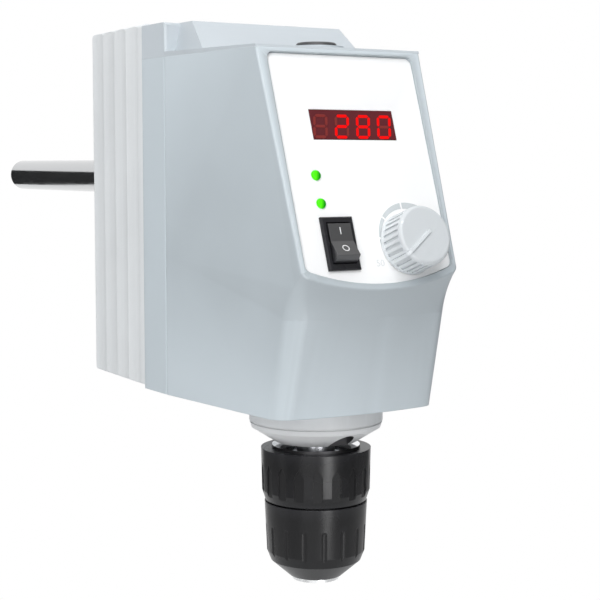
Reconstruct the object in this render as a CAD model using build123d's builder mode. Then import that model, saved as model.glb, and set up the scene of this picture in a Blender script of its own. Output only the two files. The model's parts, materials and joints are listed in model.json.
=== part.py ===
from build123d import *
from math import atan2, cos, pi, radians, sin, sqrt, tan
import os

# Overhead stirrer: a laboratory stirring motor that hangs from a support rod.
#
# Frame: millimetres, +Z up, the front faces -Y. The origin is on the spindle axis at the chuck's mouth.
# Panel places are given as (across, down): across runs along +X from the middle of the panel, and down
# runs along the leaning panel from the top edge of its bezel.

os.makedirs("parts", exist_ok=True)

# General: how far a cut runs past what it cuts, the smallest corner, and the sides of a hexagon
cut_spare = 1.0
least_corner = 0.5
hexagon_side_count = 6
search_steps = 40

# Body: three housings one behind the other, with a cover over the front two
body_width = 83.0
floor_height = 70.0
seam_height = 205.5
cover_band_height = 13.5
casting_rise = 1.0
casting_foot_step = 0.8
frame_front = 47.0
frame_depth = 20.8
casting_depth = 62.0
casting_inset = 0.5
casting_taper = 3.3
casting_corner = 5.0
casting_edge_round = 1.5
frame_round = 1.2
side_taper = 0.08
wall = 2.6
casting_wall = 4.0
floor_thickness = 3.0

# Flutes down the sides and back of the casting
flute_pitch = 13.2
flute_depth = 0.6
flute_radius = 32.0
side_flutes = 4
first_flute = 12.5
back_flutes = 5

# Chin of the front housing, below the panel
chin_reach = 33.5
chin_slope = 0.243
chin_bow = 3.6
lip_bow = 7.6
chin_corner = 8.0
lip_corner = 4.0
flare_drop = 98.5
flare_radius = 25.0
flare_angle = 50.0
flare_sections = 4

# Leaning panel and the bezel round it
panel_lean = 19.3
bezel_reach = 16.8
bezel_round = 0.9
bezel_foot = 2.3
bezel_side = 4.0
recess_depth = 1.2
panel_margin_top = 1.6
panel_bow = 6.0
panel_corner = 3.0
panel_thickness = 1.6
panel_play = 0.15
ledge_width = 2.4
ledge_thickness = 2.4

# Display and lamps
display_place = (0.3, 29.3)
window_size = (36.8, 11.6)
window_proud = 0.2
digit_block_size = (40.0, 14.0, 7.0)
digit_block_gap = 0.4
board_side_play = 4.8
board_length = 52.0
board_place = (0.0, 36.0)
board_thickness = 1.6
board_screw_grip = 5.0
lamp_radius = 1.9
lamp_inset = 8.9
lamp_places = (48.9, 59.6)
lamp_flange = 2.3
lamp_flange_height = 1.0
lamp_proud = 0.9
lamp_round = 0.8
standoff_radius = 2.5
standoff_inset = 4.0
screw_thread = 1.5
screw_hole_play = 0.2
screw_fit = 0.05
screw_head = 2.7
screw_head_height = 1.8

# Rocker and knob stand either side of the middle, at a share of the panel's half width
switch_spread = 0.478
knob_spread = 0.438

# Rocker switch
switch_down = 75.0
switch_flange = (13.6, 20.0)
switch_flange_height = 1.5
switch_edge = 0.5
switch_body = (12.0, 17.6)
switch_body_depth = 13.0
rocker_length = 15.0
rocker_width = 9.6
rocker_gap = 0.3
rocker_pivot_drop = 1.5
rocker_tilt = 13.0
rocker_end_angle = 30.0
rocker_pocket_depth = 10.5
rocker_pin_radius = 1.2
rocker_pin_length = 0.9
rocker_skirt_angle = 25.0
terminal_size = (4.8, 0.8, 6.3)
terminal_pitch = 7.0
terminal_count = 3

# Speed knob and its potentiometer: slots all round for grip, and a raised line that points to the scale
knob_down = 75.9
knob_foot_radius = 11.8
knob_side_radius = 11.5
knob_face_radius = 11.35
knob_height = 11.9
knob_gap = 0.5
knob_edge = 1.5
knob_flare_height = 1.0
knob_shell = 2.2
knob_hub_radius = 5.0
knob_slot_count = 30
knob_slot_width = 1.05
knob_slot_length = 9.4
knob_slot_foot = 1.1
knob_slot_depth = 0.55
pointer_angle = -143.0
pointer_width = 1.3
pointer_height = 0.6
pointer_tail = 2.5
pointer_foot = 1.1
pot_body_radius = 8.2
pot_body_depth = 8.5
pot_shaft_depth = 5.0
pot_bush_radius = 3.5
pot_bush_length = 5.0
pot_shaft_radius = 3.0
pot_running_gap = 0.05
pot_nut_radius = 5.5
pot_nut_height = 2.0
panel_hole_play = 0.1

# Spindle, with a bore that takes a stirring rod right through
shaft_bore = 10.5
spindle_radius = 7.5
spindle_foot = 38.0
spindle_drop = 3.0
shoulder_radius = 9.5

# Ball bearings
bearing_outer_radius = 14.0
bearing_width = 7.0
inner_ring_wall = 2.1
outer_ring_wall = 1.8
ball_radius = 1.9
ball_play = 0.12
ball_count = 9

# Collar under the body that carries the lower bearing
collar_radius = 26.2
collar_straight = 6.4
collar_groove_depth = 0.6
collar_groove_height = 0.7
collar_shoulder = 2.0
collar_rim = 0.8
collar_drop = 14.8
collar_mouth_radius = 16.2
collar_spigot_radius = 19.0
collar_lip_radius = 11.0
lower_bearing_foot = 60.0
lock_hole_radius = 4.4
lock_hole_rise = 0.7
lock_hole_floor = 15.5
seal_height = 3.0
seal_play = 0.3
collar_spigot_wall = 3.0
collar_lip_thickness = 2.0
collar_screw_circle = 22.5
collar_screw_count = 3
collar_screw_grip = 5.0

# Motor
bracket_lift = 3.0
bracket_thickness = 4.0
bracket_depth = 62.5
bracket_side_play = 2.8
bracket_shift = 1.75
bracket_corner = 6.0
bracket_screw_inset = 5.0
boss_radius = 4.0
can_radius = 26.0
can_wall = 2.5
can_round = 2.0
can_top_thickness = 3.0
bearing_hub_wall = 3.0
bearing_hub_lip = 1.5
hub_headroom = 1.1
core_height = 16.0
core_lift = 10.0
core_ring = 4.0
tooth_count = 9
tooth_width = 4.0
tooth_tip_width = 7.4
tooth_tip_depth = 1.4
coil_width = 7.4
coil_overhang = 3.2
coil_gap = 0.2
rotor_gap = 0.7
rotor_radius = 13.0
magnet_thickness = 3.0
magnet_count = 8
magnet_play = 0.4
hall_board_play = 0.5
hall_board_thickness = 1.2
circlip_width = 1.0
circlip_wall = 1.6
circlip_depth = 0.5
circlip_opening = 60.0
ring_clearance = 0.3

# Electronics on the casting
driver_board_foot = 92.0
driver_board_headroom = 32.0
driver_board_play = 2.7
pillar_length = 24.0
pillar_radius = 3.0
pillar_inset = 5.0
transistor_size = (12.0, 15.0, 4.6)
transistor_count = 3
transistor_pitch = 17.0
transistor_height = 124.0
lead_size = (0.8, 0.6)
lead_pitch = 2.54
lead_count = 3
lead_drop = 6.0
heat_pad_thickness = 1.0
heat_pad_margin = 2.0
capacitor_radius = 9.0
capacitor_length = 26.0
capacitor_count = 2
capacitor_pitch = 24.0
capacitor_drop = 26.0

# Support rod, turned down where it enters the boss, so that its shoulder bears on the boss
rod_radius = 8.0
rod_spigot_radius = 6.5
rod_reach = 182.0
rod_height = 157.0
rod_chamfer = 1.0
rod_socket_depth = 16.0
rod_socket_end = 5.0
rod_boss_radius = 16.0
rod_boss_height = 5.0
rod_bolt_radius = 4.0
rod_bolt_grip = 14.0
rod_bolt_head_radius = 6.5
rod_bolt_head_height = 8.0

# Power inlet in the back of the casting
inlet_height = 94.0
inlet_flange = (31.0, 24.0)
inlet_flange_thickness = 2.5
inlet_body = (27.0, 20.0)
inlet_body_depth = 17.0
inlet_recess = (24.2, 16.4)
inlet_recess_depth = 15.0
inlet_recess_corner = 4.0
inlet_corner = 2.0
inlet_pin_size = (2.0, 4.0, 10.0)
inlet_pin_spread = 7.0
inlet_pin_rise = 2.0
inlet_pin_tab = 6.0
pad_margin = 3.0
pad_root = 1.0

# Long screws that hold the casting to the frame
case_screw_radius = 2.0
case_screw_play = 0.2
case_screw_head_radius = 3.5
case_screw_head_height = 2.5
case_screw_head_play = 0.5
case_screw_inset = 10.2
case_screw_low = 80.0
case_screw_drop = 8.5
case_boss_size = 8.6
case_screw_grip = 12.0
hex_socket_radius = 1.5

# Top cover with its raised hump
cover_thickness = 2.0
cover_front_thickness = 1.0
hump_inset = 7.1
hump_draft = 2.8
hump_front = 37.0
hump_slope_run = 15.5
band_round = 1.2
cover_wall = 2.2
cap_seat_radius = 10.5
cap_seat_height = 0.3
cap_hole_radius = 6.6
cap_radius = 7.8
cap_thickness = 1.5
cap_round = 1.0
cap_plug_length = 5.0
cap_plug_wall = 1.6
cap_play = 0.3

# Keyless chuck
chuck_top = 53.6
hub_radius = 17.3
rear_sleeve_top = 52.5
rear_sleeve_foot = 31.9
rear_sleeve_radius = 21.6
rear_sleeve_taper = 0.4
rear_sleeve_chamfer_radius = 19.9
rear_sleeve_chamfer_height = 4.0
sleeve_split = 0.6
front_sleeve_radius = 20.2
front_sleeve_taper = 0.9
nose_start = 11.7
nose_mid = 7.9
nose_mid_radius = 17.8
nose_foot = 1.5
nose_foot_radius = 10.4
nose_wall = 1.7
core_radius = 12.0
nose_ring_radius = 9.2
nose_ring_height = 1.1
jaw_angle = 15.0
jaw_radius = 2.2
jaw_clearance = 0.3
jaw_length = 26.0
jaw_tip_height = 1.9
jaw_axis_radius = 5.2
jaw_open_radius = 5.35
jaw_travel = 17.4
jaw_wedge_gap = 0.35
jaw_hole_spare = 2.0
jaw_count = 3
nut_foot = 16.0
nut_height = 7.0
thrust_washer_height = 1.5
flat_count = 18
flat_width = 3.6
flat_depth = 0.5
flat_tip_drop = 5.5
flat_point = 3.0
sleeve_flute_count = 16
sleeve_flute_radius = 1.6
sleeve_flute_depth = 0.8
sleeve_flute_drop = 7.0
sleeve_flute_round = 1.0

# Places worked out from the sizes above
half_width = body_width / 2
frame_back = frame_front + frame_depth
casting_back = frame_back + casting_depth
casting_foot = floor_height + casting_foot_step
floor_top = floor_height + floor_thickness
bore_radius = shaft_bore / 2
case_screw_across = half_width - case_screw_inset
hump_half_width = half_width - hump_inset

# What stands at a set height under or over the seam
frame_top = seam_height + cover_band_height
casting_top = frame_top + casting_rise
flare_start = seam_height - flare_drop
spindle_top = seam_height - spindle_drop
case_screw_high = seam_height - case_screw_drop
driver_board_length = casting_top - driver_board_headroom - driver_board_foot
driver_board_centre = driver_board_foot + driver_board_length / 2
bezel_half_width = half_width - side_taper * (frame_front + bezel_reach)
panel_half_width = bezel_half_width - bezel_side
board_size = (2 * (bezel_half_width - wall - board_side_play), board_length)
lamp_across = lamp_inset - board_size[0] / 2
switch_place = (-switch_spread * panel_half_width, switch_down)
knob_place = (knob_spread * panel_half_width, knob_down)

lean = radians(panel_lean)
bezel = Plane(
    origin=(0, -bezel_reach, seam_height),
    x_dir=(1, 0, 0),
    z_dir=(0, -cos(lean), sin(lean)),
)


def on_panel(across, down, lift=0.0):
    """The plane parallel to the bezel at a place on it, lifted out of it."""
    spot = bezel.from_local_coords((across, -down, lift))
    return Plane(origin=spot, x_dir=(1, 0, 0), z_dir=bezel.z_dir)


def side_at(y):
    """Half the width of the front housing at a place along its depth."""
    return half_width - side_taper * (frame_front - y)


def chin_station(z):
    """Reach, bow and corner radius of the front housing's outline at a height."""
    reach = chin_reach + chin_slope * (z - floor_height)
    rise = max(z - flare_start, 0.0)
    reach += flare_radius - sqrt(flare_radius**2 - rise**2)
    share = min(rise / (flare_radius * sin(radians(flare_angle))), 1.0)
    bow = chin_bow + (lip_bow - chin_bow) * share
    corner = chin_corner + (lip_corner - chin_corner) * share
    return reach, bow, corner


def lip_drop():
    """How far down the panel the chin's flare meets the bezel plane, in the middle."""
    low, high = flare_start, flare_start + flare_radius * sin(radians(flare_angle))
    for _ in range(search_steps):
        z = (low + high) / 2
        plane_reach = bezel_reach + (seam_height - z) * tan(lean)
        if chin_station(z)[0] < plane_reach:
            low = z
        else:
            high = z
    return (seam_height - low) / cos(lean)


def chin_outline(z, inset, back):
    """The front housing's outline at a height, drawn in from its outer face by an inset."""
    reach, bow, corner = chin_station(z)
    nose = -(reach - inset)
    shoulder = nose + bow
    with BuildSketch(Plane.XY.offset(z)) as outline:
        with BuildLine():
            Line((-side_at(back) + inset, back), (side_at(back) - inset, back))
            Line((side_at(back) - inset, back), (side_at(shoulder) - inset, shoulder))
            ThreePointArc(
                (side_at(shoulder) - inset, shoulder),
                (0, nose),
                (-side_at(shoulder) + inset, shoulder),
            )
            Line((-side_at(shoulder) + inset, shoulder), (-side_at(back) + inset, back))
        make_face()
        front_corners = outline.vertices().group_by(Axis.Y)[0]
        fillet(front_corners, max(corner - inset, least_corner))
    return outline.sketch


def front_form(inset, foot, depth):
    """The front housing's outer form, or its hollow when inset and depth are given."""
    flare_turns = [radians(flare_angle) * i / flare_sections for i in range(flare_sections + 1)]
    flare_rises = [flare_radius * sin(turn) for turn in flare_turns]
    flare_outlines = [chin_outline(flare_start + rise, inset, frame_front) for rise in flare_rises]
    with BuildPart() as form:
        loft(sections=[chin_outline(foot, inset, frame_front), flare_outlines[0]], ruled=True)
        loft(sections=flare_outlines)
        extrude(flare_outlines[-1], amount=seam_height - flare_start - flare_rises[-1])
        split(bisect_by=bezel.offset(-depth), keep=Keep.BOTTOM)
    return form.part


def panel_outline(margin):
    """The panel's outline in the bezel plane's own coordinates, grown by a margin."""
    side = panel_half_width + margin
    top = -panel_margin_top + margin
    foot = -(lip_drop() - bezel_foot) - margin
    corner = foot + panel_bow
    with BuildSketch() as outline:
        with BuildLine():
            Line((-side, corner), (-side, top))
            Line((-side, top), (side, top))
            Line((side, top), (side, corner))
            ThreePointArc((side, corner), (0, foot), (-side, corner))
        make_face()
        fillet(outline.vertices(), max(panel_corner + margin, least_corner))
    return outline.sketch


# Front housing
bracket_front = bracket_shift - bracket_depth / 2
bracket_half_width = side_at(bracket_front) - wall - bracket_side_play
front_outer = front_form(0.0, floor_height, 0.0)
bezel_to_hollow = recess_depth + panel_thickness + ledge_thickness
front_hollow = front_form(wall, floor_top, bezel_to_hollow)
boss_across = bracket_half_width - bracket_screw_inset
boss_front = bracket_front + bracket_screw_inset
boss_back = bracket_front + bracket_depth - bracket_screw_inset
boss_places = [(x, y) for x in (-boss_across, boss_across) for y in (boss_front, boss_back)]
bracket_foot = floor_top + bracket_lift
bracket_top = bracket_foot + bracket_thickness

with BuildPart() as front_housing:
    add(front_outer)
    bezel_face = front_housing.faces().sort_by(Axis(bezel.origin, bezel.z_dir))[-1]
    fillet(bezel_face.edges().sort_by(Axis.Z)[:-1], bezel_round)
    add(front_hollow, mode=Mode.SUBTRACT)
    with BuildSketch(bezel):
        add(panel_outline(0.0))
    extrude(amount=-(recess_depth + panel_thickness), mode=Mode.SUBTRACT)
    with BuildSketch(bezel):
        add(panel_outline(-ledge_width))
    extrude(amount=-(bezel_to_hollow + cut_spare), mode=Mode.SUBTRACT)
    with BuildSketch(Plane.XY.offset(floor_top)):
        with Locations(boss_places):
            Circle(boss_radius)
    extrude(amount=bracket_lift)
    with BuildSketch(Plane.XY.offset(floor_top)):
        with Locations(boss_places):
            Circle(screw_thread)
    extrude(amount=bracket_lift, mode=Mode.SUBTRACT)
    with BuildSketch(Plane.XY.offset(floor_height)):
        with PolarLocations(collar_screw_circle, collar_screw_count):
            Circle(screw_thread + screw_hole_play)
        Circle(collar_spigot_radius)
    extrude(amount=floor_thickness, mode=Mode.SUBTRACT)
front_housing.part.label = "front_housing"
export_step(front_housing.part, "parts/front_housing.step")

# Middle frame: two sides and a floor between the front housing and the casting
frame_middle = (frame_front + frame_back) / 2
case_screw_places = [
    (x, z)
    for x in (-case_screw_across, case_screw_across)
    for z in (case_screw_low, case_screw_high)
]

with BuildPart() as mid_frame:
    with BuildSketch(Plane.XZ.offset(-frame_back)):
        with Locations((0, (floor_height + seam_height) / 2)):
            Rectangle(body_width, seam_height - floor_height)
    extrude(amount=frame_depth)
    front_edges = mid_frame.faces().sort_by(Axis.Y)[0].edges().sort_by(Axis.Z)[:-1]
    fillet(front_edges, frame_round)
    with BuildSketch(Plane.XZ.offset(-frame_back)):
        with Locations((0, (floor_top + seam_height) / 2)):
            Rectangle(body_width - 2 * wall, seam_height - floor_top)
    extrude(amount=frame_depth, mode=Mode.SUBTRACT)
    boss_outer = half_width - wall / 2
    boss_inner = case_screw_across - case_boss_size / 2
    with BuildSketch(Plane.XZ.offset(-frame_back)):
        for side in (-1, 1):
            for z in (case_screw_low, case_screw_high):
                with Locations((side * (boss_outer + boss_inner) / 2, z)):
                    Rectangle(boss_outer - boss_inner, case_boss_size)
    extrude(amount=frame_depth)
    with BuildSketch(Plane.XZ.offset(-frame_back)):
        with Locations(case_screw_places):
            Circle(case_screw_radius)
    extrude(amount=frame_depth, mode=Mode.SUBTRACT)
mid_frame.part.label = "mid_frame"
export_step(mid_frame.part, "parts/mid_frame.step")


def casting_outline(inset, back_inset):
    """The casting's outline seen from above, drawn in from its outer face."""
    front_half = half_width - casting_inset - inset
    back_half = front_half - casting_taper * (casting_depth - back_inset) / casting_depth
    back = casting_back - back_inset
    with BuildSketch() as outline:
        with BuildLine():
            Polyline(
                (-front_half, frame_back),
                (front_half, frame_back),
                (back_half, back),
                (-back_half, back),
                close=True,
            )
        make_face()
        fillet(outline.vertices().group_by(Axis.Y)[-1], max(casting_corner - inset, least_corner))
    return outline.sketch


# Rear casting, fluted to shed heat, with the socket for the support rod
side_turn = atan2(casting_taper, casting_depth)
rod_boss_end = casting_back + rod_boss_height
rod_foot = rod_boss_end - rod_socket_depth
socket_end = rod_foot - rod_socket_end
flute_out = flute_radius - flute_depth

with BuildPart() as rear_housing:
    with BuildSketch(Plane.XY.offset(casting_foot)):
        add(casting_outline(0.0, 0.0))
    extrude(amount=casting_top - casting_foot)
    casting_rims = (
        rear_housing.faces().sort_by(Axis.Z)[0].edges() + rear_housing.faces().sort_by(Axis.Z)[-1].edges()
    )
    fillet(casting_rims.filter_by(Axis.X, reverse=True), casting_edge_round)
    with BuildSketch(Plane.XY.offset(casting_foot)):
        for i in range(side_flutes):
            along = first_flute + i * flute_pitch
            x = half_width - casting_inset - along * sin(side_turn) + flute_out * cos(side_turn)
            y = frame_back + along * cos(side_turn) + flute_out * sin(side_turn)
            with Locations((x, y), (-x, y)):
                Circle(flute_radius)
        with Locations((0, casting_back + flute_out)):
            with GridLocations(flute_pitch, 0, back_flutes, 1):
                Circle(flute_radius)
    extrude(amount=casting_top - casting_foot, mode=Mode.SUBTRACT)
    with BuildSketch(Plane.XZ.offset(-casting_back)):
        with Locations((0, inlet_height)):
            RectangleRounded(inlet_flange[0] + 2 * pad_margin, inlet_flange[1] + 2 * pad_margin, pad_margin)
        with Locations(case_screw_places):
            Circle(case_screw_head_radius + case_screw_head_play)
    extrude(amount=flute_depth + pad_root)
    with BuildSketch(Plane.XZ.offset(-rod_boss_end)):
        with Locations((0, rod_height)):
            Circle(rod_boss_radius)
    extrude(amount=rod_boss_height + casting_wall)
    with BuildSketch(Plane.XY.offset(casting_foot + casting_wall)):
        add(casting_outline(casting_wall, casting_wall))
    extrude(amount=casting_top - casting_foot - 2 * casting_wall, mode=Mode.SUBTRACT)
    with BuildSketch(Plane.XZ.offset(-(casting_back - casting_wall / 2))):
        with Locations((0, rod_height)):
            Circle(rod_boss_radius)
    extrude(amount=casting_back - casting_wall / 2 - socket_end)
    with BuildSketch(Plane.XZ.offset(-rod_boss_end)):
        with Locations((0, rod_height)):
            Circle(rod_spigot_radius)
    extrude(amount=rod_socket_depth, mode=Mode.SUBTRACT)
    with BuildSketch(Plane.XZ.offset(-rod_boss_end)):
        with Locations((0, rod_height)):
            Circle(rod_bolt_radius)
        with Locations(case_screw_places):
            Circle(case_screw_radius + case_screw_play)
        with Locations((0, inlet_height)):
            Rectangle(*inlet_body)
    extrude(amount=rod_boss_end - socket_end, mode=Mode.SUBTRACT)
rear_housing.part.label = "rear_housing"
export_step(rear_housing.part, "parts/rear_housing.step")

# Top cover: a thin sloping lid, the band over the frame and the hump in front of it
hump_foot_front = hump_front - hump_slope_run
cap_seat_top = seam_height + cover_thickness + cap_seat_height
cover_reach = bezel_reach + 2 * wall


def hump_solid(inset, foot, top):
    """The hump in front of the band, or its hollow when an inset is given."""
    share = (top - seam_height) / (frame_top - seam_height)
    with BuildPart() as hump:
        for z, half, front in (
            (foot, hump_half_width + hump_draft, hump_foot_front),
            (top, hump_half_width + hump_draft * (1 - share), hump_front - hump_slope_run * (1 - share)),
        ):
            with BuildSketch(Plane.XY.offset(z)):
                with Locations((0, (front + inset + frame_middle) / 2)):
                    Rectangle(2 * (half - inset), frame_middle - front - inset)
        loft(ruled=True)
    return hump.part


hump_outer = hump_solid(0.0, seam_height, frame_top)
hump_hollow = hump_solid(cover_wall, seam_height, frame_top - cover_wall)

with BuildPart(mode=Mode.PRIVATE) as band_form:
    with BuildSketch(Plane.XZ.offset(-frame_back)):
        with Locations((0, (seam_height + frame_top) / 2)):
            Rectangle(body_width, frame_top - seam_height)
    extrude(amount=frame_depth)
    band_face = band_form.faces().sort_by(Axis.Y)[0]
    fillet(band_face.edges().sort_by(Axis.Z)[1:], band_round)
band = band_form.part

with BuildPart() as top_cover:
    with BuildSketch(Plane.XY.offset(seam_height)):
        with BuildLine():
            Polyline(
                (-half_width, frame_middle),
                (half_width, frame_middle),
                (half_width, frame_front),
                (side_at(-cover_reach), -cover_reach),
                (-side_at(-cover_reach), -cover_reach),
                (-half_width, frame_front),
                close=True,
            )
        make_face()
    extrude(amount=cover_thickness)
    cover_slope = atan2(cover_thickness - cover_front_thickness, frame_front + bezel_reach)
    lid_top = Plane(
        origin=(0, frame_front, seam_height + cover_thickness),
        x_dir=(1, 0, 0),
        z_dir=(0, -sin(cover_slope), cos(cover_slope)),
    )
    split(bisect_by=lid_top, keep=Keep.BOTTOM)
    split(bisect_by=bezel, keep=Keep.BOTTOM)
    add(band)
    add(hump_outer)
    with BuildSketch(Plane.XY.offset(seam_height)):
        Circle(cap_seat_radius)
    extrude(amount=cap_seat_top - seam_height)
    add(hump_hollow, mode=Mode.SUBTRACT)
    with BuildSketch(Plane.XZ.offset(-(frame_back - cover_wall))):
        with Locations((0, (seam_height + frame_top - cover_wall) / 2)):
            Rectangle(body_width - 2 * cover_wall, frame_top - seam_height - cover_wall)
    extrude(amount=frame_depth - 2 * cover_wall, mode=Mode.SUBTRACT)
    with BuildSketch(Plane.XY.offset(seam_height)):
        Circle(cap_hole_radius)
    extrude(amount=cap_seat_top - seam_height, mode=Mode.SUBTRACT)
top_cover.part.label = "top_cover"
export_step(top_cover.part, "parts/top_cover.step")

# Cap that closes the hole over the hollow spindle
cap_foot = cap_seat_top - cap_plug_length

with BuildPart() as top_cap:
    with BuildSketch(Plane.XY.offset(cap_seat_top)):
        Circle(cap_radius)
    extrude(amount=cap_thickness)
    fillet(top_cap.faces().sort_by(Axis.Z)[-1].edges(), cap_round)
    with BuildSketch(Plane.XY.offset(cap_foot)):
        Circle(cap_hole_radius - cap_play)
        Circle(cap_hole_radius - cap_play - cap_plug_wall, mode=Mode.SUBTRACT)
    extrude(amount=cap_plug_length)
top_cap.part.label = "top_cap"
export_step(top_cap.part, "parts/top_cap.step")

# Control panel
panel_front = -recess_depth
panel_back = panel_front - panel_thickness

with BuildPart() as control_panel:
    with BuildSketch(bezel.offset(panel_back)):
        add(panel_outline(-panel_play))
    extrude(amount=panel_thickness)
    with BuildSketch(on_panel(*display_place, panel_back)):
        Rectangle(window_size[0] + 2 * panel_hole_play, window_size[1] + 2 * panel_hole_play)
    with BuildSketch(on_panel(*switch_place, panel_back)):
        Rectangle(switch_body[0] + 2 * panel_hole_play, switch_body[1] + 2 * panel_hole_play)
    with BuildSketch(on_panel(*knob_place, panel_back)):
        Circle(pot_bush_radius + panel_hole_play)
    for down in lamp_places:
        with BuildSketch(on_panel(lamp_across, down, panel_back)):
            Circle(lamp_radius + panel_hole_play)
    extrude(amount=panel_thickness, mode=Mode.SUBTRACT)
control_panel.part.label = "control_panel"
export_step(control_panel.part, "parts/control_panel.step")

# Display: a smoked window, the digits' block and the board behind them
block_front = panel_back - digit_block_gap
board_front = block_front - digit_block_size[2]
board_back = board_front - board_thickness

with BuildPart() as display_window:
    with BuildSketch(on_panel(*display_place, panel_back)):
        Rectangle(*window_size)
    extrude(amount=panel_thickness + window_proud)
    chamfer(display_window.faces().sort_by(Axis(bezel.origin, bezel.z_dir))[-1].edges(), window_proud)
display_window.part.label = "display_window"
export_step(display_window.part, "parts/display_window.step")

with BuildPart() as display_module:
    with BuildSketch(on_panel(*display_place, board_front)):
        Rectangle(*digit_block_size[:2])
    extrude(amount=digit_block_size[2])
display_module.part.label = "display_module"
export_step(display_module.part, "parts/display_module.step")

standoff_across = board_size[0] / 2 - standoff_inset
standoff_up = board_size[1] / 2 - standoff_inset
standoff_spots = [(x, y) for x in (-standoff_across, standoff_across) for y in (-standoff_up, standoff_up)]

with BuildPart() as display_board:
    with BuildSketch(on_panel(*board_place, board_back)):
        Rectangle(*board_size)
        with Locations(standoff_spots):
            Circle(screw_thread + screw_hole_play, mode=Mode.SUBTRACT)
    extrude(amount=board_thickness)
display_board.part.label = "display_board"
export_step(display_board.part, "parts/display_board.step")

with BuildPart() as board_standoffs:
    with BuildSketch(on_panel(*board_place, board_front)):
        with Locations(standoff_spots):
            Circle(standoff_radius)
            Circle(screw_thread, mode=Mode.SUBTRACT)
    extrude(amount=panel_back - board_front)
board_standoffs.part.label = "board_standoffs"
export_step(board_standoffs.part, "parts/board_standoffs.step")

with BuildPart() as board_screws:
    with BuildSketch(on_panel(*board_place, board_back - screw_head_height)):
        with Locations(standoff_spots):
            Circle(screw_head)
    extrude(amount=screw_head_height)
    with BuildSketch(on_panel(*board_place, board_back)):
        with Locations(standoff_spots):
            Circle(screw_thread - screw_fit)
    extrude(amount=board_thickness + board_screw_grip)
board_screws.part.label = "board_screws"
export_step(board_screws.part, "parts/board_screws.step")

# Two lamps that stand on the board and show through the panel
for lamp_name, down in zip(("overload_led", "power_led"), lamp_places):
    with BuildPart() as lamp:
        with BuildSketch(on_panel(lamp_across, down, board_front)):
            Circle(lamp_flange)
        extrude(amount=lamp_flange_height)
        with BuildSketch(on_panel(lamp_across, down, board_front)):
            Circle(lamp_radius)
        extrude(amount=panel_front + lamp_proud - board_front)
        lamp_top = lamp.faces().sort_by(Axis(bezel.origin, bezel.z_dir))[-1]
        fillet(lamp_top.edges(), lamp_round)
    lamp.part.label = lamp_name
    export_step(lamp.part, f"parts/{lamp_name}.step")

# Rocker switch: frame, rocker on its two pins, and the terminals
flange_top = panel_front + switch_flange_height
pivot_lift = flange_top - rocker_pivot_drop
pocket_size = (rocker_width + 2 * rocker_gap, rocker_length + 2 * rocker_gap)

with BuildPart() as switch_frame:
    with BuildSketch(on_panel(*switch_place, panel_front)):
        Rectangle(*switch_flange)
    extrude(amount=switch_flange_height)
    rim = switch_frame.faces().sort_by(Axis(bezel.origin, bezel.z_dir))[-1]
    chamfer(rim.edges(), switch_edge)
    with BuildSketch(on_panel(*switch_place, panel_front)):
        Rectangle(*switch_body)
    extrude(amount=-switch_body_depth)
    with BuildSketch(on_panel(*switch_place, flange_top)):
        Rectangle(*pocket_size)
    extrude(amount=-rocker_pocket_depth, mode=Mode.SUBTRACT)
    pin_plane = Plane(
        origin=on_panel(*switch_place, pivot_lift).origin - Vector(switch_body[0] / 2, 0, 0),
        x_dir=(0, 0, 1),
        z_dir=(1, 0, 0),
    )
    with BuildSketch(pin_plane):
        Circle(rocker_pin_radius + pot_running_gap)
    extrude(amount=switch_body[0], mode=Mode.SUBTRACT)
switch_frame.part.label = "switch_frame"
export_step(switch_frame.part, "parts/switch_frame.step")

pressed_lean = lean + radians(rocker_tilt)
rocker_swing = rocker_length / 2


def rocker_plane(across):
    """The plane of the rocker's profile, local x towards its upper end, at a place along its pins."""
    return Plane(
        origin=on_panel(*switch_place, pivot_lift).origin + Vector(across, 0, 0),
        x_dir=(0, sin(pressed_lean), cos(pressed_lean)),
        z_dir=(1, 0, 0),
    )


with BuildPart() as switch_rocker:
    with BuildSketch(rocker_plane(-rocker_width / 2)):
        with BuildLine():
            end = radians(rocker_end_angle)
            skirt = radians(rocker_skirt_angle)
            tip = (rocker_swing * cos(end), rocker_swing * sin(end))
            foot = (rocker_swing * cos(skirt), -rocker_swing * sin(skirt))
            valley = tip[1] - tip[0] * tan(radians(rocker_tilt))
            Line((0, valley), tip)
            ThreePointArc(tip, (rocker_swing, 0), foot)
            Line(foot, (-foot[0], foot[1]))
            ThreePointArc((-foot[0], foot[1]), (-rocker_swing, 0), (-tip[0], tip[1]))
            Line((-tip[0], tip[1]), (0, valley))
        make_face()
    extrude(amount=rocker_width)
    with BuildSketch(rocker_plane(-rocker_width / 2 - rocker_pin_length)):
        Circle(rocker_pin_radius)
    extrude(amount=rocker_width + 2 * rocker_pin_length)
switch_rocker.part.label = "switch_rocker"
export_step(switch_rocker.part, "parts/switch_rocker.step")

with BuildPart() as switch_terminals:
    with BuildSketch(on_panel(*switch_place, panel_front - switch_body_depth)):
        with GridLocations(0, terminal_pitch, 1, terminal_count):
            Rectangle(*terminal_size[:2])
    extrude(amount=-terminal_size[2])
switch_terminals.part.label = "switch_terminals"
export_step(switch_terminals.part, "parts/switch_terminals.step")

# Speed knob on the potentiometer's shaft
knob_foot = panel_front + knob_gap
knob_top = knob_foot + knob_height
bush_top = panel_back + pot_bush_length
hub_foot = bush_top + ring_clearance
shaft_top = knob_top - knob_shell
knob_lean = atan2(knob_side_radius - knob_face_radius, knob_height - knob_flare_height)
knob_centre = on_panel(*knob_place, knob_foot)


def knob_section(turn, aside=0.0):
    """The plane through the knob's axis at a turn round it, local x outward and y along the axis."""
    outward = knob_centre.x_dir * cos(turn) + knob_centre.y_dir * sin(turn)
    across = outward.cross(knob_centre.z_dir)
    return Plane(origin=knob_centre.origin + across * aside, x_dir=outward, z_dir=across)


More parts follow.
